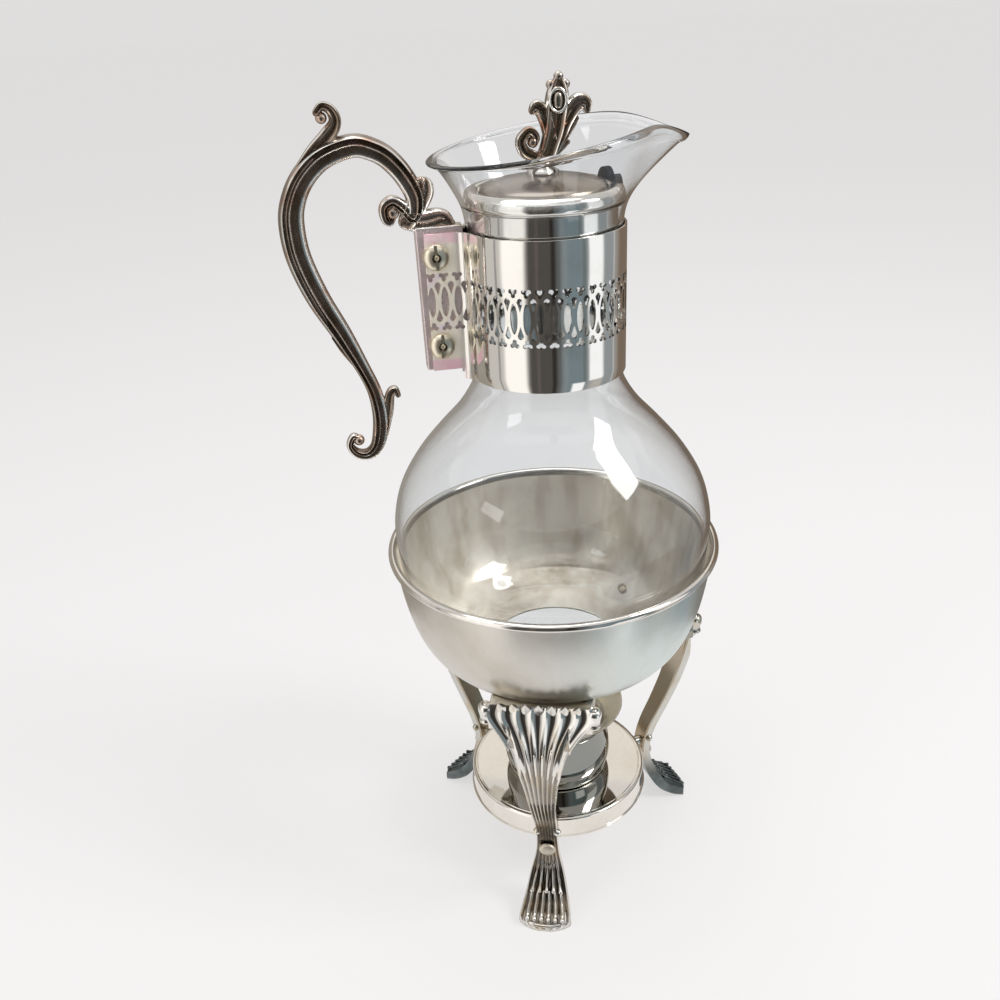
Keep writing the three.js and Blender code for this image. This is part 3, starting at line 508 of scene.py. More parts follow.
class Finish:
    """A material that is written as expressions on readings."""

    def __init__(self, name):
        self.material = bpy.data.materials.new(name)
        self.material.use_nodes = True
        self.tree = self.material.node_tree
        self.tree.nodes.clear()

    def node(self, kind, values=None, output=0, **choices):
        """Adds a node, makes its choices, fills its inputs and reads one output."""
        made = self.tree.nodes.new("ShaderNode" + kind)
        for name, choice in choices.items():
            setattr(made, name, choice)
        for key, value in (values or {}).items():
            connect(made.inputs[key], value)
        return Reading(made.outputs[output])

    def place(self, scale=(1, 1, 1)):
        """The place on the object in millimetres from its axis, stretched by a scale."""
        stretch = [s / MM for s in scale]
        shift = [-a * s for a, s in zip(AXIS, scale)]
        spot = self.node("TexCoord", output="Object")
        return self.node("Mapping", {"Vector": spot, "Location": shift, "Scale": stretch})

    def radius(self):
        """The distance from the object's axis in millimetres."""
        flat = self.node("VectorMath", {0: self.place(), 1: (1, 1, 0)}, operation="MULTIPLY")
        return self.node("VectorMath", {0: flat}, output="Value", operation="LENGTH")

    def along(self, axis):
        """The place along X, the spout's direction, or Z, the height, in millimetres."""
        return self.node("SeparateXYZ", {0: self.place()}, output=axis)

    def clouds(self, size, detail=4.0, rough=0.55, scale=(1, 1, 1)):
        """Soft random patches of a size in millimetres, from 0 to 1."""
        return self.node("TexNoise", {
            "Vector": self.place(scale), "Scale": 1 / size, "Detail": detail, "Roughness": rough})

    def lathe_marks(self, size):
        """Fine rings that a lathe or a buffing wheel leaves."""
        rings = {"W": self.radius(), "Scale": 1 / size, "Detail": 5.0}
        return self.node("TexNoise", rings, noise_dimensions="1D")

    def mix(self, share, first, second):
        """A colour between two."""
        colours = [c if isinstance(c, Reading) else (*c, 1.0) for c in (first, second)]
        return self.node("Mix", {0: share, 6: colours[0], 7: colours[1]}, output=2, data_type="RGBA")

    def bump(self, relief, depth, strength=1.0):
        """A normal from a relief whose full depth is in millimetres."""
        return self.node("Bump", {"Height": relief, "Distance": depth * MM, "Strength": strength})

    def hollows(self):
        """1 on ridges and 0 in hollows, as painted on the piece."""
        return self.node("Attribute", output="Fac", attribute_name="Hollows")

    def finish(self, surface):
        """Shows a shader and gives the material."""
        out = self.tree.nodes.new("ShaderNodeOutputMaterial")
        connect(out.inputs["Surface"], surface)
        return self.material

    def principled(self, colour, rough, metal=1.0, normal=None, **more):
        """The main shader, with further inputs named with underscores for spaces."""
        values = {"Base Color": colour if isinstance(colour, Reading) else (*colour, 1.0),
                  "Roughness": rough, "Metallic": metal}
        values.update({name.replace("_", " "): value for name, value in more.items()})
        if normal is not None:
            values["Normal"] = normal
        return self.node("BsdfPrincipled", values)


def plate(name, stain, rough, tint=None, patch=26.0, marks=0.0, grain=0.35, cool_reflection=0.0, metal=1.0, reflection_streaks=0.0):
    """Silver plate with patches of tarnish, rubbed and scratched; it can also carry a painted cool reflection
    on the spout side and painted reflection streaks.
    """
    look = settings().finishes
    made = Finish(name)
    clouds = made.clouds(patch)
    fine = made.clouds(2.2, detail=6.0, scale=(1, 1, 0.35))
    share = clouds.ramp(0.38, 0.78) * stain + fine.ramp(0.45, 0.8) * (stain * grain)
    # Painted reflection: tall streaks of stain colour stand in for the streaky reflections inside the bowl.
    if reflection_streaks:
        runs = made.clouds(11.0, detail=3.0, scale=(1, 1, 0.12))
        share = share + runs.ramp(0.4, 0.66) * reflection_streaks
    clean = tint or tuple(look.silver)
    # Painted reflection: towards the spout side the clean colour turns a cool blue-grey.
    if cool_reflection:
        clean = made.mix(made.along("X").ramp(-45.0, 55.0) * cool_reflection, clean, (0.69, 0.79, 0.785))
    colour = made.mix(share, clean, tuple(look.stain))
    scratches = made.clouds(0.5, detail=2.0, scale=(1, 1, 0.08))
    shine = fine * (rough * grain) + clouds * (rough * 0.35) + rough * 0.6
    relief = made.lathe_marks(0.35) * marks + scratches * (0.7 * grain)
    normal = made.bump(relief, 0.012, 0.35)
    return made.finish(made.principled(colour, shine, metal=metal, normal=normal))


def casting(name, hollow, ridge, rough, worn=None, foot_shade=0.0, depth=1.0, lift=1.0, clean=None, dark=None):
    """Cast silver whose hollows are dark with tarnish and whose ridges are rubbed bright. Darker feet and a
    given dark tone are painted shade.
    """
    look = settings().finishes
    made = Finish(name)
    open_face = made.hollows().ramp(*hollow)
    edge = made.hollows().ramp(*ridge)
    clouds = made.clouds(7.0)
    grain = made.clouds(0.9, detail=5.0)
    # A dark tone given in place of the soot is painted shade, for the legs on the stand's shadow side.
    darkest = dark or tuple(part * lift for part in look.soot)
    brown = tuple(part * 0.4 for part in dark or look.stain)
    base = made.mix(clouds.ramp(0.3, 0.75), darkest, brown)
    rubbed = made.clouds(9.0).ramp(0.45, 0.72) * 0.8
    bright = made.mix(rubbed, clean or tuple(look.silver), worn or tuple(look.copper))
    share = (open_face * depth + (1 - depth)) * (clouds * 0.3 + 0.75)
    # Painted shade: the bright silver gives way to the dark base towards the table, on the feet.
    if foot_shade:
        share = share * (1 - foot_shade * (1 - made.along("Z").ramp(14.0, 34.0)))
    colour = made.mix((share + edge * 0.7).ramp(0.0, 1.0), base, bright)
    shine = rough + grain * rough * 0.5 - edge * rough * 0.3
    return made.finish(made.principled(colour, shine, normal=made.bump(grain, 0.02, 0.2)))


def clear_glass(name, start, dark, painted_edge_shade):
    """Thin blown glass that lets the lamps' light through, darker where it is seen edge on: a painted dark
    outline.
    """
    look = settings().finishes
    made = Finish(name)
    wave = made.clouds(28.0, detail=1.0)
    edge = made.node("LayerWeight", {"Blend": 0.5}, output="Facing").ramp(start, 1.0) * dark
    tint = made.mix(edge, tuple(look.glass), painted_edge_shade)
    shader = made.principled(tint, 0.0, metal=0.0, normal=made.bump(wave, 0.12, 0.25),
                             Transmission_Weight=1.0, IOR=1.46)
    through = made.node("BsdfTransparent", {"Color": (0.93, 0.94, 0.945, 1.0)})
    lamp = made.node("LightPath", output="Is Shadow Ray")
    return made.finish(made.node("MixShader", {0: lamp, 1: shader, 2: through}))


def plain(name, colour, rough, metal=0.0, patch=3.0, **more):
    """A quiet finish with a fine grain."""
    made = Finish(name)
    grain = made.clouds(patch)
    shade = made.mix(grain, tuple(c * 0.86 for c in colour), tuple(min(c * 1.1, 1.0) for c in colour))
    return made.finish(made.principled(
        shade, rough + grain * 0.12, metal=metal, normal=made.bump(grain, 0.03, 0.2), **more))


# Warmer stand

BOWL_WALL = ((0, 0), (0.26, 0.1), (0.48, 0.23), (0.66, 0.39), (0.79, 0.56), (0.9, 0.76), (1, 1))


def bowl_outside():
    """The bowl's outside from the heat hole up to the rolled rim."""
    top = (settings().stand.rim_radius / MM - 2 * RIM_BEAD + SHEET, RIM_HEIGHT - 2 * RIM_BEAD)
    wall = eased(stretched(BOWL_WALL, (CREASE_RADIUS, CREASE_HEIGHT), top), 30)
    floor = raised([(0, 0), (8, 8 * math.tan(FLOOR_SLOPE))], HOLE_HEIGHT, HOLE_RADIUS)
    return [*floor, (CREASE_RADIUS - 1.2, CREASE_HEIGHT - 0.62), *wall[1:]]


class CARAFE_OT_bowl(bpy.types.Operator):
    """Turn the warmer's bowl with its heat hole and rolled rim"""

    bl_idname = "carafe.bowl"
    bl_label = "Warmer Bowl"

    def execute(self, context):
        rim = settings().stand.rim_radius / MM
        outside = bowl_outside()
        inside = beside(outside, SHEET)[::-1]
        roll = arc((rim - RIM_BEAD, RIM_HEIGHT - RIM_BEAD), RIM_BEAD, -90, 180, 16)
        bowl = turned("bowl", [*outside, *roll, *inside, outside[0]], facets=192)
        fit(bowl, "stand", "silver_plate", ["warmer_bowl"],
            # The outside's cool tone on the spout side is a painted reflection.
            plate("bowl_outside", 0.3, 0.36, tint=(0.7, 0.665, 0.605), marks=0.2, grain=0.2, cool_reflection=0.9),
            # The inside's tall streaks are painted reflections over its tarnish.
            plate("bowl_inside", 0.5, 0.27, tint=(1.0, 0.9, 0.765), marks=1.0, grain=0.1, metal=0.42,
                  reflection_streaks=0.36),
            plate("bowl_rim", 0.3, 0.07))
        rim_foot = RIM_HEIGHT - 2 * RIM_BEAD - 0.6

        def is_inside(corner):
            spot = corner.co / MM - AXIS
            return min(abs(spot.xy.length - r) + abs(spot.z - z) for r, z in inside) < 0.05

        def chosen(face, middle):
            if middle.z > rim_foot:
                return 2
            return all(is_inside(bowl.data.vertices[v]) for v in face.vertices[:2])

        share_finishes(bowl, chosen)
        return {"FINISHED"}


HEAD_RADIUS = CREASE_RADIUS + 6.5
HEAD_TOP = CREASE_HEIGHT + 3.6
LEG_THICKNESS = 5.8
ANKLE_RADIUS = TRAY_RADIUS + 5.4
ANKLE_HEIGHT = TRAY_TOP - 5.2
FOOT_REACH = 68.3
KNEE_BULGE = 6
TOE_HALF = 11.6
# Down the leg: share of the way in, share of the way down, thickness, width, share of the bulge
SHANK = ((0, 0, 0.35, 0.97, 0), (0, 0.06, 0.5, 1, 0.3), (0, 0.17, 0.56, 0.68, 0.75), (0, 0.28, 0.54, 0.48, 1),
         (0.08, 0.42, 0.5, 0.35, 1), (0.3, 0.57, 0.49, 0.275, 0.95), (0.62, 0.74, 0.48, 0.235, 0.6),
         (0.88, 0.88, 0.47, 0.217, 0.2))
# Down the foot: share of the way out, share of the way down, thickness, width
FOOT = ((0, 0, 0.47, 0), (0.01, 0.24, 0.47, 0.1), (0.12, 0.5, 0.5, 0.4), (0.34, 0.74, 0.56, 0.68),
        (0.62, 0.88, 0.6, 0.9), (0.86, 0.96, 0.5, 1), (1, 0.99, 0.24, 0.9))
FOOT_WIDTHS = (4.7, TOE_HALF)


def leg_stations():
    """Stations of the leg from its head to its toe."""
    head = settings().stand.head_width / MM / 2
    shank = [(between(HEAD_RADIUS, ANKLE_RADIUS, inward) + bulge * KNEE_BULGE,
              between(HEAD_TOP, ANKLE_HEIGHT, down), thick * LEG_THICKNESS, wide * head)
             for inward, down, thick, wide, bulge in SHANK]
    foot = [(between(ANKLE_RADIUS, FOOT_REACH, out), between(ANKLE_HEIGHT, 0, down),
             thick * LEG_THICKNESS, between(*FOOT_WIDTHS, wide)) for out, down, thick, wide in FOOT]
    return eased([*shank, *foot], 96)


def fluted_section(flutes):
    """The leg's section: hollow flutes with sharp ridges on its front and a plain back."""
    steps = 6
    front = []
    for k in range(flutes * steps + 1):
        v = -0.94 + 1.88 * k / (flutes * steps)
        hollow = math.sin(math.pi * (k % steps) / steps)
        front.append((0.62 + 0.36 * (1 - v * v) ** 0.5 - 0.42 * hollow, v))
    edge = [(0.4, 1.0), (0.0, 1.0), (-0.5, 0.96)]
    back = [(-0.78, v) for v in (0.86, 0.5, 0.0, -0.5, -0.86)]
    return [*front, *edge, *back, *((u, -v) for u, v in reversed(edge))]


def leg_shelf():
    """The shelf behind a leg's head that carries the bowl's floor."""
    inner, foot, half = 40.8, HOLE_HEIGHT - 1.56, 21
    shelf = block("shelf", (inner, -half, foot), (HEAD_RADIUS, half, CREASE_HEIGHT))
    room = beside(bowl_outside(), -0.3)
    cone = turned("bowl_room", [(0, room[0][1]), *room, (0, room[-1][1])], facets=96)
    return rounded(cut(shelf, cone), 0.3)


def volute(side, head):
    """A rolled end of the leg's head."""
    roll = [(0, 0), (1.9, 0), (2.6, 0.5), (2.7, 1.2), (2.3, 1.9), (2.5, 3.6), (2.9, 5.6), (3, 7.2),
            (2.6, 8.3), (1.7, 8.9), (1.2, 8.6), (0.8, 9), (0, 9.1)]
    made = turned("volute", eased(roll, 30), facets=36)
    return moved(made, at(HEAD_RADIUS, side * head, HEAD_TOP - 9))


def petals(head):
    """A crown of leaf tips along the top of the head."""
    tips = []
    for k in range(-3, 4):
        lean = k / 3
        reach = 1 - 0.25 * abs(lean)
        stations = [(0, -7 * reach, 0.2, 0.4), (0.2, -4.4 * reach, 0.5, 1.5), (0.6, -2, 0.62, 2.0),
                    (1.2, -0.5, 0.5, 1.3), (1.8, 0.4, 0.22, 0.35)]
        tip = swept("leaf_tip", rounded_ends(eased(stations, 14)), mirrored(LEAF))
        tilt = about("X", math.radians(-24 * lean)) @ about("Y", math.radians(-14))
        tips.append(moved(tip, at(HEAD_RADIUS + 0.9, lean * head * 0.72, HEAD_TOP + 1.3) @ tilt))
    return tips


ROUND = [(math.cos(a), math.sin(a)) for a in (math.tau * n / 12 for n in range(12))]


def rod_line(start, end):
    """Stations of a foot rod over the foot's ridge, thickening to a bead at its end."""
    line = []
    for step in range(7):
        share = between(start, end, step / 6)
        x = between(ANKLE_RADIUS, FOOT_REACH, (share - 0.18) ** 1.6 * 1.55)
        z = between(ANKLE_HEIGHT, 0, 1 - 0.93 * (1 - share) ** 1.15)
        swell = 0.42 + 0.12 * math.sin(step * 2.2) + 0.5 * max(0, step - 4.4) / 1.6
        line.append((x + 1.1, z + 1.0, swell, swell))
    return line


def foot_rods():
    """The fan of raised rods with beads at their ends on the shell foot."""
    rods = []
    for count, start, end in ((5, 0.3, 0.62), (6, 0.62, 0.86)):
        for k in range(count):
            across = 2 * k / (count - 1) - 1
            rod = swept("rod", rounded_ends(eased(rod_line(start, end), 18)), ROUND)
            for corner in rod.data.vertices:
                share = 1 - (corner.co.z / MM - 1) / ANKLE_HEIGHT
                fanned = max(0, min(1, (share - 0.3) / 0.55))
                corner.co.y += across * between(3.0, 7.7, fanned) * MM
            rods.append(rod)
    return rods


def toe_reach(y):
    """How far out the toe's rounded edge lies."""
    return FOOT_REACH - 4.2 * (abs(y) / TOE_HALF) ** 2.4


def toe_rim():
    """The smooth rim round the toe."""
    curve = []
    for k in range(25):
        y = 9.6 * math.sin(math.radians(-88 + 176 * k / 24))
        curve.append((toe_reach(y) - 1.3, y, 1.15, 1.0))
    rim = swept("rim", rounded_ends(curve), ROUND)
    return moved(rim, at(0, 0, 1.9) @ about("X", QUARTER))


def ankle_knobs():
    """Small rolled knobs beside the ankle, level with the tray."""
    return [bead("knob", (ANKLE_RADIUS + 1.2, side * 4.6, ANKLE_HEIGHT + 4), 1.7) for side in (-1, 1)]


def tray_lug():
    """The lug behind the ankle that the tray's screw goes into."""
    return moved(bar("lug", 2.7, 0, 4.4, 32), at(TRAY_RADIUS + 1.2, 0, ANKLE_HEIGHT) @ about("Y", QUARTER))


def medallion():
    """The small oval shell on the ankle."""
    outline = [(0, 1.0), (1.2, 0.95), (2.6, 0.7), (3.3, 0.25), (3.4, -0.6), (0, -0.6)]
    made = turned("medallion", eased(outline, 20), facets=40)
    squeeze = Matrix.Diagonal((0.8, 1, 1, 1))
    return moved(made, at(ANKLE_RADIUS + 3.1, 0, 29.2) @ about("Y", math.radians(78)) @ squeeze)


def trim_toe(leg):
    """Cuts the foot's sole flat on the table and its toe round."""
    under, wide, reach = -30, 40, 90
    sole = filled("underground", [(20, -wide, under), (reach, -wide, under), (reach, wide, under),
                                  (20, wide, under)], (0, 0, -under))
    cut(leg, sole)
    toe = [(toe_reach(y), y, -1) for y in (11.9 * k / 14 for k in range(-14, 15))]
    plan = filled("toe_plan", [(20, -30, -1), (72, -30, -1), (72, -12.6, -1), *toe, (72, 12.6, -1),
                               (72, 30, -1), (20, 30, -1)], (0, 0, 130))
    return cut(leg, plan, "INTERSECT")


class CARAFE_OT_legs(bpy.types.Operator):
    """Sweep a fluted leg with its shelf, volutes and shell foot, and copy it three times"""

    bl_idname = "carafe.legs"
    bl_label = "Legs"

    def execute(self, context):
        sizes = settings().stand
        head = sizes.head_width / MM / 2
        leg = trim_toe(swept("leg", leg_stations(), fluted_section(sizes.flutes), smooth=40))
        joined(leg, leg_shelf(), tray_lug(), toe_rim(), *ankle_knobs(),
               *(volute(side, head) for side in (-1, 1)), *petals(head), *foot_rods())
        shade_hollows(leg)
        shell = medallion()
        # The front leg has the plain casting; the two others a dimmer, cooler copy with darker feet, painted
        # shade on the stand's shadow side.
        bright = casting("cast_silver", (0.0, 0.05), (0.25, 0.5), 0.12, worn=(0.86, 0.74, 0.56), foot_shade=0.3,
                         depth=0.55)
        shadow_side_casting = casting("painted_shade_cast_silver", (0.0, 0.05), (0.25, 0.5), 0.16, worn=(0.62, 0.5, 0.34),
                         foot_shade=0.85, depth=0.6, clean=(0.66, 0.65, 0.6), dark=(0.15, 0.18, 0.185))
        # Faces turned in towards the axis get a darker brown plate: tarnish, and painted shade where the bowl
        # hangs over them.
        tarnish_and_shade_inside = plate("leg_inside_tarnish_and_shade", 0.8, 0.24, tint=(0.45, 0.4, 0.31), patch=12.0)
        pale = plain("worn_shell", (0.68, 0.62, 0.52), 0.42, metal=1.0, patch=0.9)
        inner = [face.normal.x < -0.25 and 30 < face.center.z / MM < 103 for face in leg.data.polygons]
        for k, name in enumerate(LEG_NAMES):
            place = about("Z", LEG_TURN + math.tau * k / 3)
            twin = copied(leg, "fluted_leg_" + name, place)
            fit(twin, "stand", "cast_silver_plate", ["leg_" + name],
                bright if name == "front" else shadow_side_casting, tarnish_and_shade_inside)
            share_finishes(twin, lambda face, middle: inner[face.index])
            fit(copied(shell, "ankle_shell_" + name, place), "stand", "cast_silver_plate", (), pale)
        discard(leg)
        discard(shell)
        return {"FINISHED"}


def slotted_screw(name, radius, height, shank, length, slot, boss=False):
    """A domed screw along Z with a slot, its seat at zero."""
    dome = [(radius * math.cos(a), height * 0.12 + height * 0.88 * math.sin(a))
            for a in (math.radians(9 * k) for k in range(10))]
    screw = turned(name, [(0, -length), (shank * 0.8, -length), (shank, -length + 0.4), (shank, 0),
                          (radius * 0.96, 0), *dome, (0, height)], facets=40)
    width, deep = slot
    bottom, over = height - deep, height + 1
    cut(screw, block("slot", (-width / 2, -radius * 1.2, bottom), (width / 2, radius * 1.2, over)))
    if boss:
        cut(screw, bar("dimple", radius * 0.34, bottom, over, 32))
        knob = eased([(0, bottom - 0.2), (0.95, bottom - 0.2), (0.9, bottom + 0.35), (0.5, bottom + 0.62),
                      (0, bottom + 0.68)], 16)
        joined(screw, turned("knob", knob, facets=24))
    return settle(screw, 30)


class CARAFE_OT_stand_screws(bpy.types.Operator):
    """Model the small screws that hold the bowl to the legs, and give the tray's screws their finish"""

    bl_idname = "carafe.stand_screws"
    bl_label = "Stand Screws"

    def execute(self, context):
        finish = plain("worn_brass", (0.5, 0.4, 0.26), 0.3, metal=1.0, patch=0.8)
        screw = slotted_screw("small_screw", 2.1, 1.1, 1.3, 5, (0.6, 0.5))
        inward = 6
        radius = CREASE_RADIUS - inward
        height = CREASE_HEIGHT - inward * math.tan(FLOOR_SLOPE)
        apart = math.asin(16.5 / radius)
        seat = at(radius, 0, height) @ about("Y", -FLOOR_SLOPE) @ at(0, 0, 1.3)
        for k, name in enumerate(LEG_NAMES):
            azimuth = LEG_TURN + math.tau * k / 3
            for side, turn in enumerate((azimuth - apart, azimuth + apart), 1):
                driven = about("Z", 1.1 * k + 0.7 * side)
                place = about("Z", turn) @ seat @ driven
                twin = copied(screw, f"bowl_screw_{name}_{side}_head", place)
                fit(twin, "stand", "screw_brass", [f"bowl_screw_{name}_{side}"], finish)
            paint_fastener("tray_screw_" + name, finish)
        discard(screw)
        return {"FINISHED"}


# The tray's outline from its rim up over the edge and the groove, and back along its underside
TRAY_SKIRT = ((-0.2, 0), (0.45, -0.02), (0.7, 0.2), (0.6, 0.6), (0, 1.1))
TRAY_GROOVE = ((-1.9, 0), (-2.1, -0.28), (-2.3, -0.28), (-2.5, -0.02))


class CARAFE_OT_tray(bpy.types.Operator):
    """Turn the polished tray under the burner"""

    bl_idname = "carafe.tray"
    bl_label = "Burner Tray"

    def execute(self, context):
        foot, wall, edge = TRAY_TOP - 10.4, 0.9, 1.2
        skirt = raised(TRAY_SKIRT, foot, TRAY_RADIUS)
        bend = arc((TRAY_RADIUS - edge, TRAY_TOP - edge), edge, 0, 90, 8)
        inner = TRAY_RADIUS - wall
        groove = raised(TRAY_GROOVE, TRAY_TOP, TRAY_RADIUS)
        underside = [*raised([(20, -0.02), (0, -0.02), (0, -wall), (inner, -wall)], TRAY_TOP),
                     (inner, foot + 0.8)]
        tray = turned("tray", [*skirt, *bend, *groove, *underside, skirt[0]], facets=192)
        fit(tray, "stand", "silver_plate", ["burner_tray"],
            plate("tray_mirror", 0.2, 0.05, tint=(0.88, 0.84, 0.78), patch=40.0))
        return {"FINISHED"}


# Burner


CUP_WALL = ((21.5, 0.0), (23.0, 0.012), (23.05, 0.04), (24.55, 0.2), (24.3, 0.38), (22.85, 0.68),
            (24.0, 0.78), (27.5, 0.9), (30.2, 0.975))


class CARAFE_OT_cup(bpy.types.Operator):
    """Turn the burner cup with its flared rim"""

    bl_idname = "carafe.cup"
    bl_label = "Burner Cup"

    def execute(self, context):
        foot = low("burner_cup").z
        tall = high("burner_cup").z - foot
        thick = 0.9
        wall = eased([(radius, foot + up * tall) for radius, up in CUP_WALL], 54)
        inside = [(radius, max(height, foot + thick)) for radius, height in beside(wall, thick)[::-1]]
        lip = [(30.65, foot + tall * 0.992), (30.6, foot + tall)]
        cup = turned("cup", [(0, foot), *wall, *lip, *inside, (0, foot + thick)], facets=160)
        # The outer mirror's dark grey tint is partly soot from the candle and partly a painted dark
        # reflection.
        fit(cup, "burner", "silver_plate", ["burner_cup"],
            plate("cup_mirror", 0.2, 0.05, tint=(0.29, 0.3, 0.285), grain=0.15),
            plate("cup_inside", 0.3, 0.32, tint=(0.92, 0.87, 0.74), patch=14.0, metal=0.7))
        share_finishes(cup, lambda face, middle: face.normal.z > 0.3 or face.normal.xy.dot(middle.xy) < -0.2)
        return {"FINISHED"}


# Tea light: radii, with heights from the foot of the tin or of the wax, or from its top
TIN_FOOT = ((0, 0), (18.4, 0), (19.1, 0.6), (19.15, 1.4))
TIN_TOP = ((18.9, -1.2), (19.1, -0.35), (18.95, 0), (18.6, -0.25), (18.45, -1.2))
TIN_FLOOR = ((18.5, 1), (18.2, 0.5), (0, 0.5))
WAX_FOOT = ((1, 0), (18.1, 0), (18.25, 1))
WAX_TOP = ((18.3, 0), (17.9, -0.15), (16, -0.6), (8, -0.8), (3, -0.6), (1.4, -0.1), (1, -0.3))


class CARAFE_OT_candle(bpy.types.Operator):
    """Model the tea light: its tin, its wax and its wick"""

    bl_idname = "carafe.candle"
    bl_label = "Tea Light"

    def execute(self, context):
        foot, top = low("candle_tin").z, high("candle_tin").z
        outline = [*raised(TIN_FOOT, foot), *raised(TIN_TOP, top), *raised(TIN_FLOOR, foot)]
        tin = turned("tea_light_tin", outline, facets=120)
        fit(tin, "candle", "candle_tin", ["candle_tin"],
            plain("pressed_tin", (0.78, 0.79, 0.8), 0.28, metal=1.0, patch=2.0))
        foot, top = low("candle_wax").z, high("candle_wax").z
        wax = turned("tea_light_wax", [*raised(WAX_FOOT, foot), *raised(WAX_TOP, top), (1, foot)], facets=120)
        fit(wax, "candle", "candle_wax", ["candle_wax"],
            plain("paraffin", (0.9, 0.88, 0.82), 0.35, patch=5.0, Subsurface_Weight=0.2,
                  Subsurface_Scale=0.004))
        foot, top = low("candle_wick").z, high("candle_wick").z
        line = [(0, foot, 0.62, 0.62), (0, top - 4, 0.62, 0.62), (0.05, top - 2, 0.58, 0.58),
                (0.1, top - 0.5, 0.4, 0.4)]
        wick = swept("wick_cord", rounded_ends(line), ROUND)
        fit(wick, "candle", "candle_wick", ["candle_wick"],
            plain("cotton", (0.8, 0.74, 0.62), 0.9, patch=0.5))
        return {"FINISHED"}


# Carafe

BULB_LOWER = ((0, 0), (0.2, 0.03), (0.38, 0.118), (0.6, 0.237), (0.8, 0.43), (0.95, 0.72), (1, 1))
BULB_UPPER = ((0.01, 0.14), (0.1, 0.308), (0.3, 0.486), (0.55, 0.645), (0.79, 0.785), (0.95, 0.916))
MOUTH = ((0, 0), (0.12, 0.24), (0.45, 0.54), (0.93, 0.94))
BULB_FOOT_RADIUS = 34
WIDEST = RIM_HEIGHT + 6.44
LIP_BEAD = 1.5
SPOUT_REACH = 11.6
SPOUT_DROP = 7
SPOUT_SPREAD = math.radians(21)
MOUTH_TILT = 5


def draw_spout(piece):
    """Tilts the mouth and draws it out to the spout, more the nearer a corner is to the rim."""
    for corner in piece.data.vertices:
        spot = corner.co / MM
        up = max(0, (spot.z - NECK_TOP) / MOUTH_HEIGHT)
        radius = spot.xy.length
        if not up or not radius:
            continue
        lean = math.exp(-(math.atan2(spot.y, spot.x) / SPOUT_SPREAD) ** 2)
        rise = MOUTH_TILT * up ** 3 * spot.x / MOUTH_RADIUS - SPOUT_DROP * lean * up ** 2
        grow = (radius + SPOUT_REACH * lean * up ** 2) / radius
        corner.co = Vector((spot.x * grow, spot.y * grow, spot.z + rise)) * MM
    piece.data.update()
    return piece


class CARAFE_OT_glass(bpy.types.Operator):
    """Turn the glass and draw its spout"""

    bl_idname = "carafe.glass"
    bl_label = "Carafe Glass"

    def execute(self, context):
        widest = (settings().carafe.bulb_radius / MM, WIDEST)
        rim = (MOUTH_RADIUS, NECK_TOP + MOUTH_HEIGHT)
        lower = stretched(BULB_LOWER, (BULB_FOOT_RADIUS, GLASS_FOOT), widest)
        upper = stretched(BULB_UPPER, widest, (NECK_RADIUS, NECK_FOOT))
        neck = [(NECK_RADIUS, NECK_FOOT), (NECK_RADIUS, NECK_FOOT + 7)]
        outside = [*eased([*lower, *upper, *neck], 84), (NECK_RADIUS, NECK_TOP - 4),
                   *eased(stretched(MOUTH, (NECK_RADIUS, NECK_TOP), rim), 22)]
        over_floor = GLASS_FOOT + GLASS_WALL * 1.05
        inside = [spot for spot in beside(outside, GLASS_WALL)[::-1] if spot[1] > over_floor]
        under = raised([(0, 0.6), (20, 0.4), (BULB_FOOT_RADIUS - 3, 0)], GLASS_FOOT)
        floor = raised([(BULB_FOOT_RADIUS - 2, 0), (20, 0.4), (0, 0.6)], GLASS_FOOT + GLASS_WALL)
        glass = turned("glass", [*under, *outside, *arc(rim, LIP_BEAD, -40, 190, 14), *inside, *floor],
                       facets=160, smooth=60)
        in_rim = [face.center.z / MM > rim[1] - 0.9 for face in glass.data.polygons]
        # Both glasses paint a dark outline where they are seen edge on, the rim's darkest: painted shade.
        fit(draw_spout(glass), "carafe", "clear_glass", ["carafe_glass"],
            clear_glass("blown_glass", 0.72, 0.8, (0.5, 0.52, 0.54)),
            clear_glass("rim_glass", 0.42, 0.95, (0.2, 0.21, 0.22)))
        share_finishes(glass, lambda face, middle: in_rim[face.index])
        return {"FINISHED"}


PIERCING_HEIGHT = 11.4
PIERCING_WIDTH = 2.9
ROW_HEIGHT = COLLAR_FOOT + 28
EAR_ROW = (SCREW_HEIGHTS[0] + SCREW_HEIGHTS[1]) / 2


def tall_opening():
    """The corners of a tall opening with pointed ends."""
    half = PIERCING_HEIGHT / 2
    right = [(PIERCING_WIDTH / 2 * math.cos(a) ** 1.15, half * math.sin(a))
             for a in (math.radians(-90 + 180 * k / 14) for k in range(15))]
    return [*right, *((-x, z) for x, z in right[-2:0:-1])]


def kite_opening(up):
    """The corners of the kite between two tall openings, above or below their middle."""
    right = [(0, -2.5), (0.75, -0.3), (1.25, 1.1), (0.75, 2.1), (0, 2.5)]
    corners = [*right, *((-x, z) for x, z in right[-2:0:-1])]
    return [(x, up * (z + 5.15)) for x, z in corners]


def trefoil_opening(up):
    """The corners of the three-lobed opening over or under a tall one."""
    corners = []
    for lobe in (-90, 30, 150):
        heart = (1.12 * math.cos(math.radians(lobe)), 1.02 * math.sin(math.radians(lobe)))
        corners += arc(heart, 0.86, lobe - 118, lobe + 118, 8)
    return [(x, up * (z + 9.5)) for x, z in corners]


def column_cutter(face, name):
    """One repeat of the pierced pattern as a cutter that stands off the face along -Y."""
    outlines = [tall_opening(), trefoil_opening(1), trefoil_opening(-1),
                *([(x + face, z) for x, z in kite_opening(up)] for up in (1, -1))]
    return joined(*(filled(name, [(x, -2.4, ROW_HEIGHT + z) for x, z in outline], (0, 4.8, 0))
                    for outline in outlines))


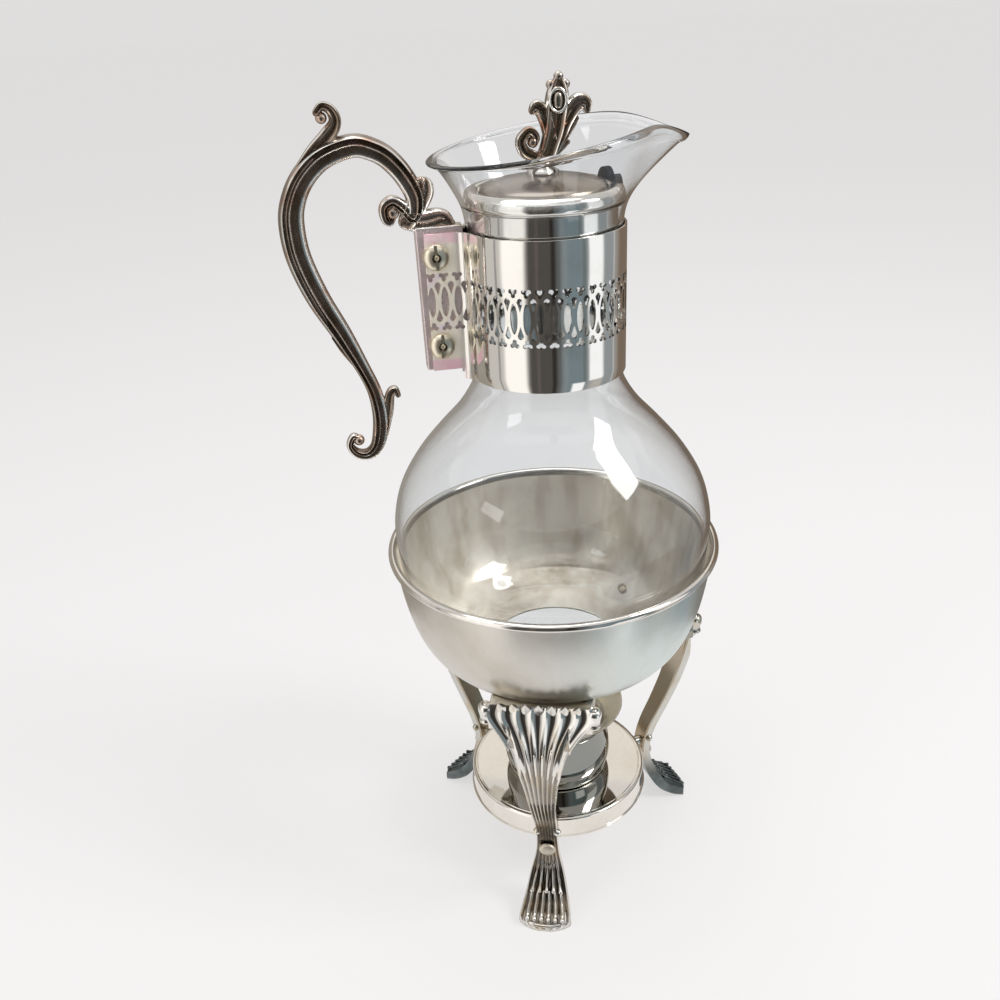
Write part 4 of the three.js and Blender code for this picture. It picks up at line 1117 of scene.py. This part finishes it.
def collar_path():
    """The strap's outer face seen from above, from one ear round the neck to the other."""
    near = eased([(-EAR_EDGE, -EAR_FACE), (-41, -EAR_FACE), (-37, -EAR_FACE), (-34.4, -4.3), (-32.5, -4.85),
                  (-31.2, -5.9), (-30.3, -7.4), (-29.14, -9.0)], 40)
    start = math.degrees(math.atan2(9.0, 29.14))
    ring = arc((0, 0), COLLAR_RADIUS, 180 + start, 540 - start, 300)[1:-1]
    return [*near, *ring, *((x, -y) for x, y in reversed(near))]


def pierced_cutters(count):
    """Cutters for the row of openings round the band and for the columns on both ears."""
    pitch = math.tau / count
    wide = COLLAR_RADIUS * pitch
    column = column_cutter(wide / 2, "column")
    gap = math.ceil((EAR_FACE + 4.5) / wide)
    stand = at(0, -COLLAR_RADIUS, 0)
    band = [copied(column, "band_cutter", about("Z", k * pitch - QUARTER) @ stand)
            for k in range(gap, count - gap + 1)]
    middle = -(COLLAR_RADIUS + EAR_EDGE) / 2 - 1.2
    ears = [copied(column, "ear_cutter", at(middle + step * wide, side * EAR_FACE, EAR_ROW - ROW_HEIGHT))
            for side in (-1, 1) for step in (-1, 0, 1)]
    discard(column)
    return band, ears


class CARAFE_OT_collar(bpy.types.Operator):
    """Bend the pierced collar and its ears from one strap of sheet"""

    bl_idname = "carafe.collar"
    bl_label = "Neck Collar"

    def execute(self, context):
        path = [(x, y, COLLAR_FOOT) for x, y in collar_path()]
        strap = start_piece("collar", path[0])
        draw(path)
        bpy.ops.mesh.select_all(action="SELECT")
        extrude((0, 0, EAR_LIFT))
        extrude((0, 0, COLLAR_TOP - COLLAR_FOOT - EAR_LIFT))
        close_piece(strap)
        outwards = sum(face.normal.xy.dot(face.center.xy) > 0 for face in strap.data.polygons)
        if outwards < len(strap.data.polygons) / 2:
            strap.data.flip_normals()
        self.trim_ears(strap)
        modified(strap, "SOLIDIFY", thickness=0.9 * MM, offset=-1, use_even_offset=True)
        rounded(strap, 0.22, angle_limit=math.radians(50))
        bores = []
        for height in SCREW_HEIGHTS:
            place = at(-SCREW_REACH, 0, height) @ about("X", QUARTER)
            bores.append(moved(bar("bore", 2.2, -12, 12, 24), place))
        for cutters in (*pierced_cutters(settings().carafe.piercings), bores):
            cut(strap, joined(*cutters))
        settle(strap, 30)
        fit(strap, "carafe", "silver_plate", ["neck_collar"], collar_silver())
        return {"FINISHED"}

    @staticmethod
    def trim_ears(strap):
        """Cuts the ears' lower edge up from the collar's."""
        bpy.ops.object.mode_set(mode="EDIT")
        bpy.ops.mesh.select_all(action="DESELECT")
        bpy.ops.object.mode_set(mode="OBJECT")
        for face in strap.data.polygons:
            centre = face.center / MM
            face.select = centre.x < -33.5 and centre.z < COLLAR_FOOT + EAR_LIFT
        bpy.ops.object.mode_set(mode="EDIT")
        bpy.ops.mesh.select_mode(type="FACE")
        bpy.ops.mesh.delete(type="FACE")
        bpy.ops.mesh.select_mode(type="VERT")
        bpy.ops.object.mode_set(mode="OBJECT")


def collar_silver():
    """Polished plate that heat and handling have tinted gold, violet and pink on the ears."""
    look = settings().finishes
    made = Finish("collar_plate")
    fine = made.clouds(1.6, detail=6.0, scale=(1, 1, 0.4))
    clouds = made.clouds(20.0)
    ears = 1 - made.along("X").ramp(-36.0, -31.0)
    height = made.along("Z")
    patch = made.clouds(9.0, detail=2.0)
    gold = made.mix(patch.ramp(0.52, 0.66), (1.0, 0.93, 0.78), (0.92, 0.78, 0.92))
    blush = (height.ramp(COLLAR_TOP - 4.5, COLLAR_TOP - 2.5)
             + (1 - height.ramp(COLLAR_FOOT + 7.5, COLLAR_FOOT + 9.5)))
    tinted = made.mix(blush * (patch * 0.5 + 0.55), gold, (0.98, 0.58, 0.68))
    clean = made.mix(clouds.ramp(0.5, 0.85) * 0.3, tuple(look.silver), tuple(look.stain))
    colour = made.mix(ears * (patch.ramp(0.3, 0.5) * 0.35 + 0.62), clean, tinted)
    shine = fine * 0.05 + ears * 0.42 + 0.05
    normal = made.bump(fine, 0.012, 0.3)
    return made.finish(made.principled(colour, shine, metal=1 - ears * 0.8, normal=normal))


# Handle: along its depth from the inner to the outer side, with two ribs on its flank
RIBBED = ((1, 0), (0.94, 0.4), (0.84, 0.66), (0.66, 0.8), (0.4, 0.82), (0.14, 0.76), (0.0, 0.78),
          (-0.09, 0.98), (-0.15, 1.04), (-0.21, 0.96), (-0.3, 0.74), (-0.44, 0.66), (-0.56, 0.72),
          (-0.64, 0.94), (-0.69, 0.98), (-0.75, 0.9), (-0.83, 0.66), (-0.94, 0.36), (-1, 0))
LEAF = ((-1, 0), (-0.98, 0.3), (-0.9, 0.7), (-0.78, 0.95), (-0.66, 0.82), (-0.42, 0.62), (-0.12, 0.6),
        (0, 0.78), (0.12, 0.6), (0.42, 0.62), (0.66, 0.82), (0.78, 0.95), (0.9, 0.7), (0.98, 0.3), (1, 0))
GRIP = ((0.205, 0.165, 0.13, 0.5), (0.235, 0.11, 0.16, 0.62), (0.27, 0.135, 0.18, 0.7),
        (0.275, 0.23, 0.2, 0.75), (0.21, 0.28, 0.22, 0.8), (0.14, 0.23, 0.25, 0.85),
        (0.06, 0.14, 0.3, 0.9), (0.035, 0.3, 0.38, 0.95), (0.11, 0.48, 0.4, 1), (0.22, 0.625, 0.42, 1),
        (0.33, 0.7, 0.43, 1), (0.45, 0.735, 0.44, 1), (0.6, 0.7, 0.45, 1), (0.73, 0.63, 0.46, 1),
        (0.85, 0.5, 0.47, 1), (0.93, 0.34, 0.48, 1), (0.965, 0.16, 0.5, 1), (0.945, -0.06, 0.5, 1),
        (0.84, -0.23, 0.48, 1), (0.69, -0.395, 0.41, 0.95), (0.565, -0.545, 0.31, 0.9),
        (0.49, -0.655, 0.3, 0.85), (0.46, -0.765, 0.33, 0.85), (0.475, -0.86, 0.33, 0.8),
        (0.52, -0.925, 0.28, 0.75), (0.595, -0.955, 0.24, 0.7), (0.68, -0.945, 0.2, 0.65),
        (0.73, -0.905, 0.17, 0.6), (0.7, -0.865, 0.15, 0.55), (0.655, -0.875, 0.13, 0.5))
THUMB_SCROLL = ((0.885, 0.57, 0.1, 0.4), (0.75, 0.71, 0.24, 0.7), (0.63, 0.82, 0.3, 0.8),
                (0.565, 0.92, 0.24, 0.75), (0.585, 1.01, 0.2, 0.7), (0.645, 1.045, 0.17, 0.65),
                (0.69, 1, 0.14, 0.6))
LOWER_LEAF = ((0.465, -0.86, 0.3, 0.6), (0.4, -0.76, 0.26, 0.6), (0.365, -0.685, 0.2, 0.55),
              (0.325, -0.665, 0.17, 0.5), (0.3, -0.69, 0.12, 0.4))
LEAF_NIB = ((0.6, -0.53, 0.2, 0.5), (0.69, -0.46, 0.18, 0.45), (0.765, -0.405, 0.06, 0.3))
UPPER_LOBE = ((0.11, 0.1, 0.36, 0.8), (0.04, 0.22, 0.44, 0.8), (-0.02, 0.33, 0.46, 0.75),
              (-0.03, 0.4, 0.4, 0.65))
ROOT_LOBE = ((0.12, 0.1, 0.3, 0.8), (-0.02, 0.09, 0.46, 0.75), (-0.15, 0.11, 0.38, 0.65),
             (-0.225, 0.06, 0.18, 0.5))


# The grip's reach out from the ears, its heights over and under the collar's top, and its depth
GRIP_REACH = 47.7
GRIP_RISE = 43
GRIP_FALL = 88.6
GRIP_DEPTH = 9.2


def grip_part(name, shares, steps, section):
    """One scroll or leaf of the handle."""
    width = settings().carafe.grip_width / MM / 2
    stations = [(-EAR_EDGE - out * GRIP_REACH, COLLAR_TOP + up * (GRIP_RISE if up > 0 else GRIP_FALL),
                 deep * GRIP_DEPTH, wide * width) for out, up, deep, wide in shares]
    return swept(name, rounded_ends(eased(stations, steps)), section)


class CARAFE_OT_handle(bpy.types.Operator):
    """Sweep the scrolls and leaves of the handle and its tongue between the ears"""

    bl_idname = "carafe.handle"
    bl_label = "Handle"

    def execute(self, context):
        leaf = mirrored(LEAF)
        grip = grip_part("grip", GRIP, 170, mirrored(RIBBED))
        leaves = [grip_part(name, shares, steps, leaf) for name, shares, steps in (
            ("thumb_scroll", THUMB_SCROLL, 48), ("lower_leaf", LOWER_LEAF, 32), ("leaf_nib", LEAF_NIB, 16),
            ("upper_lobe", UPPER_LOBE, 28), ("root_lobe", ROOT_LOBE, 28))]
        root, foot, top = -COLLAR_RADIUS - 0.3, COLLAR_FOOT + EAR_LIFT, COLLAR_TOP + 2.4
        half = 3
        tongue = filled("tongue", [(root, -half, foot), (root, -half, top), (-EAR_EDGE - 3, -half, top),
                                   (-EAR_EDGE - 2.2, -half, foot)], (0, 2 * half, 0))
        rounded(tongue, 0.7, segments=3)
        hearts = [bead("bead", (-EAR_EDGE - out * GRIP_REACH, 0, COLLAR_TOP + up), size)
                  for out, up, size in ((0.215, 8.0, 2.6), (0.66, 41.2, 2.0), (0.655, -78.2, 2.2))]
        handle = joined(grip, *leaves, tongue, *hearts)
        handle.name = handle.data.name = "scroll_handle"
        shade_hollows(handle)
        fit(handle, "carafe", "dark_silver_plate", ["handle"],
            casting("dark_cast_silver", (0.0, 0.6), (0.2, 0.42), 0.22, lift=6.5),
            # The tongue's pink is its own tint; it is also made darker than the ears as painted shade between
            # them.
            plate("tongue_plate", 0.35, 0.3, tint=(0.78, 0.66, 0.66), patch=9.0, metal=0.5))

        share_finishes(handle, lambda face, middle: middle.x > -EAR_EDGE - 3.3
                       and middle.z < COLLAR_TOP + 0.4)
        return {"FINISHED"}


class CARAFE_OT_clamp_screws(bpy.types.Operator):
    """Model the two large screws of the clamp and give their nuts a finish"""

    bl_idname = "carafe.clamp_screws"
    bl_label = "Clamp Screws"

    def execute(self, context):
        finish = casting("pale_brass", (0.0, 0.04), (0.4, 0.7), 0.24, worn=(0.9, 0.76, 0.46),
                         clean=(0.88, 0.8, 0.64))
        brass = plain("brass", (0.66, 0.6, 0.46), 0.22, metal=1.0)
        screw = slotted_screw("clamp_screw", 4.9, 2.6, 1.9, 11.6, (1.2, 1.5), boss=True)
        shade_hollows(screw)
        for name, height, turn in zip(("upper", "lower"), SCREW_HEIGHTS, (0.05, -0.04)):
            seat = at(-SCREW_REACH, -EAR_FACE - 0.3, height) @ about("X", QUARTER) @ about("Z", turn)
            twin = copied(screw, f"clamp_screw_{name}_slotted", seat)
            fit(twin, "carafe", "screw_brass", ["clamp_screw_" + name], finish)
            paint_fastener("clamp_nut_" + name, brass)
        discard(screw)
        return {"FINISHED"}


# Lid

DOME_TOP = high("lid_cover").z
LID_SEAT = DOME_TOP - 10.6
SHOULDER_TOP = DOME_TOP - 3.9
SKIRT_RADIUS = 27.2
SHOULDER_RADIUS = 29.7
SHOULDER = ((0, -0.02), (0.25, 0.02), (0.6, 0.07), (1, 0.36), (1.04, 0.56), (0.8, 0.82), (0.2, 0.98),
            (-0.4, 1.0), (-0.9, 0.94))
# Radii, with heights from the shoulder's top
DOME = ((24.9, -1.1), (24.2, -1.2), (23.7, -1.0), (23.4, -0.4), (22.9, 0.35), (21.6, 1.15), (18, 2.2),
        (13, 3.15), (7, 3.75), (1.9, 3.9))
UNDER_DOME = ((1.9, 2.9), (7, 2.75), (13, 2.15), (18, 1.15), (21, -0.1), (22.4, -1.1), (23.4, -1.9),
              (25, -2.0), (26.2, -2.1))
BRUSHED_RADIUS = 24
# The pouring notch is three round cuts through the shoulder, and two round lips of black liner stand in it:
# painted shade for the dark inside of the open notch.
NOTCH_TURNS = (18, 9, -1)
NOTCH_RADIUS = 4.1
NOTCH_SHADE_LIPS = ((16, 25.6, 4.5), (0, 26.5, 6.4))


class CARAFE_OT_lid(bpy.types.Operator):
    """Turn the lid's cover and liner and cut the pouring notch"""

    bl_idname = "carafe.lid"
    bl_label = "Lid"

    def execute(self, context):
        foot = low("lid_cover").z
        shoulder = eased(stretched(SHOULDER, (SKIRT_RADIUS, LID_SEAT), (SHOULDER_RADIUS, SHOULDER_TOP)), 44)
        dome = eased(raised(DOME, SHOULDER_TOP), 36)
        inside = [*raised(UNDER_DOME, SHOULDER_TOP), (26.2, foot)]
        skirt = [(SKIRT_RADIUS, foot), (SKIRT_RADIUS, LID_SEAT - 2)]
        cover = turned("lid_shell", [*skirt, *shoulder, *dome, *inside, skirt[0]], facets=180)
        for azimuth in NOTCH_TURNS:
            place = about("Z", math.radians(azimuth)) @ at(SHOULDER_RADIUS, 0, LID_SEAT + 2.7)
            cut(cover, moved(bar("lobe", NOTCH_RADIUS, 0, 12, 40), place))
        settle(cover, 30)
        # The brushed dome's dark brown tint is partly its own tone and partly a painted dark reflection of
        # the room.
        fit(cover, "lid", "silver_plate", ["lid_cover"],
            plate("polished_lid", 0.3, 0.07, grain=0.2),
            plate("brushed_lid", 0.5, 0.26, tint=(0.34, 0.305, 0.27), marks=1.8))
        share_finishes(cover, lambda face, middle: middle.xy.length < BRUSHED_RADIUS)
        liner = joined(self.liner_ring(), *self.notch_shade_lips())
        fit(liner, "lid", "black_liner", ["lid_liner"],
            plain("black_plastic", (0.012, 0.012, 0.014), 0.55, Specular_IOR_Level=0.2))
        return {"FINISHED"}

    @staticmethod
    def liner_ring():
        """The liner's ring, with its four corners broken."""
        foot, top = low("lid_liner").z, high("lid_liner").z
        outer = high("lid_liner").x - AXIS.x
        inner = outer - 3.2
        return turned("liner_ring", [
            (inner + 0.3, foot), (outer - 0.3, foot), (outer, foot + 0.4), (outer, top - 0.5),
            (outer - 0.4, top), (inner + 0.4, top), (inner, top - 0.5), (inner, foot + 0.4),
            (inner + 0.3, foot)], facets=120)

    @staticmethod
    def notch_shade_lips():
        """The two round black lips that stand in the pouring notch, painted shade for its dark inside."""
        upright = about("Y", QUARTER) @ Matrix.Diagonal((1.05, 1, 1, 1))
        lips = []
        for azimuth, out, drop in NOTCH_SHADE_LIPS:
            place = about("Z", math.radians(azimuth)) @ at(out, 0, DOME_TOP - drop) @ upright
            lips.append(moved(bar("lip", NOTCH_RADIUS, 0, 2.6, 36), place))
        return lips


TRUNK = ((0, 0, 0.2, 0.9), (0, 0.05, 0.19, 0.9), (0.02, 0.12, 0.12, 0.8), (0.08, 0.25, 0.11, 0.9),
         (0.14, 0.42, 0.125, 1), (0.165, 0.56, 0.135, 1), (0.185, 0.7, 0.14, 1), (0.2, 0.8, 0.125, 0.85),
         (0.205, 0.87, 0.09, 0.7), (0.21, 0.92, 0.05, 0.5))
RIGHT_LEAF = ((0.12, 0.2, 0.07, 0.6), (0.203, 0.36, 0.09, 0.75), (0.29, 0.52, 0.1, 0.8),
              (0.38, 0.635, 0.105, 0.8), (0.47, 0.68, 0.105, 0.75), (0.53, 0.645, 0.085, 0.65),
              (0.545, 0.6, 0.05, 0.5))
LEFT_LEAF = ((0.1, 0.33, 0.08, 0.7), (0.055, 0.5, 0.085, 0.7), (0, 0.61, 0.085, 0.7),
             (-0.06, 0.655, 0.08, 0.65), (-0.105, 0.62, 0.055, 0.5))
MIDDLE_LEAF = ((0.17, 0.25, 0.06, 0.6), (0.27, 0.38, 0.075, 0.65), (0.35, 0.47, 0.07, 0.6),
               (0.42, 0.52, 0.03, 0.4))
SIDE_SCROLL = ((0.03, 0.1, 0.06, 0.7), (-0.1, 0.16, 0.07, 0.8), (-0.22, 0.22, 0.07, 0.8),
               (-0.26, 0.33, 0.065, 0.75), (-0.16, 0.42, 0.055, 0.7), (-0.08, 0.36, 0.05, 0.65),
               (-0.11, 0.29, 0.045, 0.6))
SPUR = ((0.12, 0.17, 0.05, 0.6), (0.22, 0.245, 0.055, 0.5), (0.31, 0.29, 0.03, 0.4))


FINIAL_SEAT = DOME_TOP + 0.3
LEAF_REACH = 30
LEAF_HEIGHT = 34
LEAF_HALF = 3.05
BASE = ((0, -5), (1.4, -5), (1.6, -4.6), (1.6, 0), (4.2, 0), (4.4, 0.5), (4, 1.3), (3, 2.2), (2.4, 3.6),
        (0, 4.4))
# Small beads at the hearts of the leaves: shares of the reach and the height, and radius
HEARTS = ((0.115, 0.86, 1.7), (0.29, 0.86, 1.7), (-0.12, 0.31, 1.9), (0.21, 0.935, 1.75),
          (0.5, 0.635, 1.5), (-0.08, 0.615, 1.3))
GEM_SPOT = (5.5, FINIAL_SEAT + 24.2)


def leaf_spot(out, up):
    """A place in the finial's plane from shares of its reach and height."""
    return out * LEAF_REACH, FINIAL_SEAT + up * LEAF_HEIGHT


def framed_gem(side):
    """An oval cabochon in a ring, on one face of the trunk."""
    x, z = GEM_SPOT
    gem = turned("gem", eased([(0, -2.9), (1.2, -2.3), (1.75, 0), (1.2, 2.2), (0, 2.9)], 20), facets=28)
    moved(gem, at(x, side * 2.5, z) @ Matrix.Diagonal((1, 0.8, 1, 1)))
    bpy.ops.mesh.primitive_torus_add(
        major_segments=40, minor_segments=10, major_radius=2.9 * MM, minor_radius=0.42 * MM)
    ring = bpy.context.object
    return gem, moved(ring, at(x, side * 2.75, z) @ Matrix.Diagonal((1, 1, 1.35, 1)) @ about("X", QUARTER))


class CARAFE_OT_finial(bpy.types.Operator):
    """Sweep the leaves and the scroll of the lid's finial"""

    bl_idname = "carafe.finial"
    bl_label = "Finial"

    def execute(self, context):
        leaf = mirrored(LEAF)
        parts = []
        for name, shares, steps in (
                ("trunk", TRUNK, 60), ("right_leaf", RIGHT_LEAF, 36), ("left_leaf", LEFT_LEAF, 28),
                ("middle_leaf", MIDDLE_LEAF, 24), ("side_scroll", SIDE_SCROLL, 44), ("spur", SPUR, 20)):
            stations = [(*leaf_spot(out, up), deep * LEAF_REACH, thick * LEAF_HALF)
                        for out, up, deep, thick in shares]
            parts.append(swept(name, rounded_ends(eased(stations, steps)), leaf))
        parts.append(turned("base", raised(BASE, FINIAL_SEAT), facets=36))
        for side in (-1, 1):
            parts.extend(framed_gem(side))
        for out, up, size in HEARTS:
            x, z = leaf_spot(out, up)
            parts.append(bead("bead", (x, 0, z), size))
        finial = joined(*parts)
        finial.name = finial.data.name = "leaf_finial"
        shade_hollows(finial)
        fit(finial, "lid", "dark_silver_plate", ["lid_finial"],
            casting("finial_silver", (0.0, 0.55), (0.22, 0.5), 0.2, lift=3.6))
        paint_fastener("finial_nut", plain("nut_brass", (0.55, 0.45, 0.3), 0.3, metal=1.0))
        return {"FINISHED"}


# Stage


def lamp(name, spot, size, watts, target=(0, 0, 0.17)):
    """A soft rectangular light that faces the object."""
    light = bpy.data.lights.new(name, "AREA")
    light.shape = "RECTANGLE"
    light.size, light.size_y = size
    light.energy = watts
    holder = bpy.data.objects.new(name, light)
    bpy.context.collection.objects.link(holder)
    holder.location = spot
    holder.rotation_euler = (Vector(target) - Vector(spot)).to_track_quat("-Z", "Y").to_euler()
    return holder


# What the polished silver mirrors, each as a band of the reflector: its middle azimuth, half width
# and softness in degrees, its lowest and highest point, and its colour
MIRRORED_ROOM = (
    (120, 46, 10, 0, 1, (0.36, 0.33, 0.29)), (-178, 15, 5, 0, 1, (0.62, 0.6, 0.57)),
    (-172, 1.5, 1, 0, 1, (0.3, 0.3, 0.3)), (-145, 18, 4, 0, 1, (1.15, 1.13, 1.1)),
    (-102, 25, 6, 0, 1, (0.085, 0.08, 0.075)), (-112, 2, 1.5, 0, 1, (0.13, 0.11, 0.1)),
    (-90, 3, 2, 0, 1, (0.03, 0.025, 0.022)), (-60, 20, 12, 0, 1, (0.19, 0.245, 0.275)),
    (-48, 2.5, 1.5, 0, 1, (0.16, 0.19, 0.2)), (-29, 12, 2, 0.122, 1, (1.05, 1.08, 1.12)),
    (-56, 9, 2, 0, 0.117, (1.05, 1.08, 1.12)), (-4, 13, 4, 0, 1, (0.3, 0.33, 0.35)),
    (4, 2, 1, 0, 1, (0.55, 0.56, 0.57)), (44, 34, 12, 0, 1, (0.2, 0.155, 0.12)),
    (90, 86, 6, 0.46, 1, (0.86, 0.83, 0.78)))
BARE_REFLECTOR = (0.5, 0.48, 0.46)
REFLECTOR_DEPTH = 0.62
BAND_EDGE = 0.003


def reflector():
    """A low screen round the stand that only polished surfaces see."""
    pick()
    bpy.ops.mesh.primitive_cone_add(
        vertices=96, radius1=0.2, radius2=0.682, depth=REFLECTOR_DEPTH, end_fill_type="NOTHING",
        location=(0, 0, REFLECTOR_DEPTH / 2 + 0.001))
    made = bpy.context.object
    made.name = "reflector"
    paint = Finish("reflector_paint")
    spot = paint.node("TexCoord", output="Object")
    x, y, z = (paint.node("SeparateXYZ", {0: spot}, output=axis) for axis in "XYZ")
    azimuth = y.step("ARCTAN2", x) * (180 / math.pi)
    up = z + REFLECTOR_DEPTH / 2
    colour = BARE_REFLECTOR
    for middle, half, soft, foot, top, tone in MIRRORED_ROOM:
        apart = (azimuth - middle).step("ABSOLUTE")
        apart = apart.step("MINIMUM", (360 - apart).step("ABSOLUTE"))
        share = 1 - apart.ramp(half - soft, half + soft)
        if foot or top < 1:
            above = up.ramp(foot - BAND_EDGE, foot + BAND_EDGE)
            share = share * above * (1 - up.ramp(top - BAND_EDGE, top + BAND_EDGE))
        colour = paint.mix(share, colour, tone)
    return hidden_card(made, paint, colour)


def sky_card():
    """A bright card high behind the stand for the tray's top to mirror."""
    pick()
    bpy.ops.mesh.primitive_plane_add(
        size=1, location=(0.25, 0.8, 0.78), rotation=(math.radians(47), 0, math.radians(-14)))
    made = bpy.context.object
    made.name = "sky_card"
    made.scale = (1.0, 0.62, 1)
    return hidden_card(made, Finish("sky_card_paint"), (0.86, 0.83, 0.78, 1.0))


def hidden_card(made, paint, colour):
    """Lets only reflections see a glowing card, also those that reach it through glass."""
    mirrored_yet = paint.node("LightPath", output="Glossy Depth").step("MINIMUM", 1.0)
    clear = paint.node("BsdfTransparent")
    glow = paint.node("Emission", {"Color": colour, "Strength": 1.0})
    made.data.materials.append(paint.finish(paint.node("MixShader", {0: mirrored_yet, 1: clear, 2: glow})))
    for way in ("visible_camera", "visible_diffuse", "visible_shadow"):
        setattr(made, way, False)
    return made


CAMERA_SPOT = (-0.0663, -0.3716, 0.3712)
CAMERA_TURN = math.radians(9.08)
CAMERA_DROP = math.radians(26.67)
CAMERA_ROLL = math.radians(2.74)
FLOOR_GLOW = 0.62
SURROUND_LIGHT = 0.45
SURROUND_SEEN = 0.785


def seen_directly(path):
    """1 for rays that show the surround itself, also mirrored or through glass."""
    camera, glossy, glass = (Reading(path.outputs[name]) for name in (
        "Is Camera Ray", "Is Glossy Ray", "Is Transmission Ray"))
    return camera.step("MAXIMUM", glossy).step("MAXIMUM", glass)


class CARAFE_OT_stage(bpy.types.Operator):
    """Set up the floor, the backdrop, the lights and the camera"""

    bl_idname = "carafe.stage"
    bl_label = "Stage"

    def execute(self, context):
        look = settings().stage
        pale = (*look.floor, 1.0)
        self.floor(pale)
        self.backdrop(context, pale)
        lamp("window", (0.75, -0.35, 0.85), (0.3, 0.5), look.window)
        lamp("overhead", (-0.1, 0.1, 1.3), (1.1, 0.9), 4.5)
        lamp("side", (-1.0, -0.5, 0.6), (0.35, 0.8), 2.5)
        reflector()
        sky_card()
        self.camera(context)
        context.scene.view_settings.view_transform = "Standard"
        return {"FINISHED"}

    @staticmethod
    def floor(pale):
        """The pale paper that the stand is on, which glows a little where it is seen."""
        pick()
        bpy.ops.mesh.primitive_plane_add(size=24, location=(0, 0, 0))
        floor = bpy.context.object
        floor.name = "floor"
        paint = Finish("floor_paper")
        seen = seen_directly(paint.tree.nodes.new("ShaderNodeLightPath"))
        paper = paint.node("BsdfDiffuse", {"Color": pale})
        glow = paint.node("Emission", {"Color": pale, "Strength": 1.0})
        shader = paint.node("MixShader", {0: seen * FLOOR_GLOW, 1: paper, 2: glow})
        floor.data.materials.append(paint.finish(shader))

    @staticmethod
    def backdrop(context, pale):
        """The pale surround: plain where it is seen, dimmer where it only lights."""
        world = bpy.data.worlds.new("surround")
        context.scene.world = world
        world.use_nodes = True
        tree = world.node_tree
        tree.nodes.clear()
        mixer = tree.nodes.new("ShaderNodeMixShader")
        connect(mixer.inputs[0], seen_directly(tree.nodes.new("ShaderNodeLightPath")))
        for entry, strength in zip((mixer.inputs[1], mixer.inputs[2]), (SURROUND_LIGHT, SURROUND_SEEN)):
            light = tree.nodes.new("ShaderNodeBackground")
            connect(light.inputs["Color"], pale)
            connect(light.inputs["Strength"], strength)
            tree.links.new(light.outputs[0], entry)
        out = tree.nodes.new("ShaderNodeOutputWorld")
        tree.links.new(mixer.outputs[0], out.inputs["Surface"])

    @staticmethod
    def camera(context):
        """The camera at the photograph's place and angle."""
        lens = bpy.data.cameras.new("camera")
        lens.sensor_width = 36
        lens.lens = 36.45
        lens.shift_x, lens.shift_y = -0.0046, -0.0028
        lens.clip_start, lens.clip_end = 0.01, 60
        holder = bpy.data.objects.new("camera", lens)
        context.collection.objects.link(holder)
        sideways, level_ahead = math.sin(CAMERA_TURN), math.cos(CAMERA_TURN)
        flat = math.cos(CAMERA_DROP)
        ahead = Vector((sideways * flat, level_ahead * flat, -math.sin(CAMERA_DROP)))
        level = Vector((level_ahead, -sideways, 0))
        upright = level.cross(ahead)
        right = level * math.cos(CAMERA_ROLL) - upright * math.sin(CAMERA_ROLL)
        turn = Matrix((right, right.cross(ahead), -ahead)).transposed().to_4x4()
        holder.matrix_world = Matrix.Translation(CAMERA_SPOT) @ turn
        context.scene.camera = holder


OPERATORS = (
    CARAFE_OT_bowl, CARAFE_OT_legs, CARAFE_OT_stand_screws, CARAFE_OT_tray, CARAFE_OT_cup,
    CARAFE_OT_candle, CARAFE_OT_glass, CARAFE_OT_collar, CARAFE_OT_handle, CARAFE_OT_clamp_screws,
    CARAFE_OT_lid, CARAFE_OT_finial, CARAFE_OT_stage)
GROUPS = {"stand": StandSizes, "carafe": CarafeSizes, "finishes": Finishes, "stage": StageLook}


class CarafeWithWarmer(bpy.types.PropertyGroup):
    """All the settings of the carafe with its warmer"""

    stand: PointerProperty(type=StandSizes, name="Stand", description="Sizes of the warmer stand")
    carafe: PointerProperty(type=CarafeSizes, name="Carafe", description="Sizes of the carafe")
    finishes: PointerProperty(type=Finishes, name="Finishes", description="Colours of the materials")
    stage: PointerProperty(type=StageLook, name="Stage", description="Floor and light")


class CARAFE_PT_pieces(bpy.types.Panel):
    """Lists the pieces and their settings"""

    bl_idname = "CARAFE_PT_pieces"
    bl_label = "Carafe With Warmer"
    bl_space_type = "VIEW_3D"
    bl_region_type = "UI"
    bl_category = "Carafe"

    def draw(self, context):
        whole = context.scene.carafe_with_warmer
        for name in GROUPS:
            box = self.layout.box()
            group = getattr(whole, name)
            for setting in group.__annotations__:
                box.prop(group, setting)
        for operator in OPERATORS:
            self.layout.operator(operator.bl_idname)


CLASSES = (*GROUPS.values(), CarafeWithWarmer, *OPERATORS, CARAFE_PT_pieces)


def register():
    """Registers the classes and the settings."""
    for each in CLASSES:
        bpy.utils.register_class(each)
    bpy.types.Scene.carafe_with_warmer = PointerProperty(type=CarafeWithWarmer)


def unregister():
    """Takes the classes and the settings away again."""
    del bpy.types.Scene.carafe_with_warmer
    for each in reversed(CLASSES):
        bpy.utils.unregister_class(each)


def main():
    """Builds the whole object and its stage."""
    register()
    for operator in OPERATORS:
        group, name = operator.bl_idname.split(".")
        getattr(getattr(bpy.ops, group), name)()


if __name__ == "__main__":
    main()
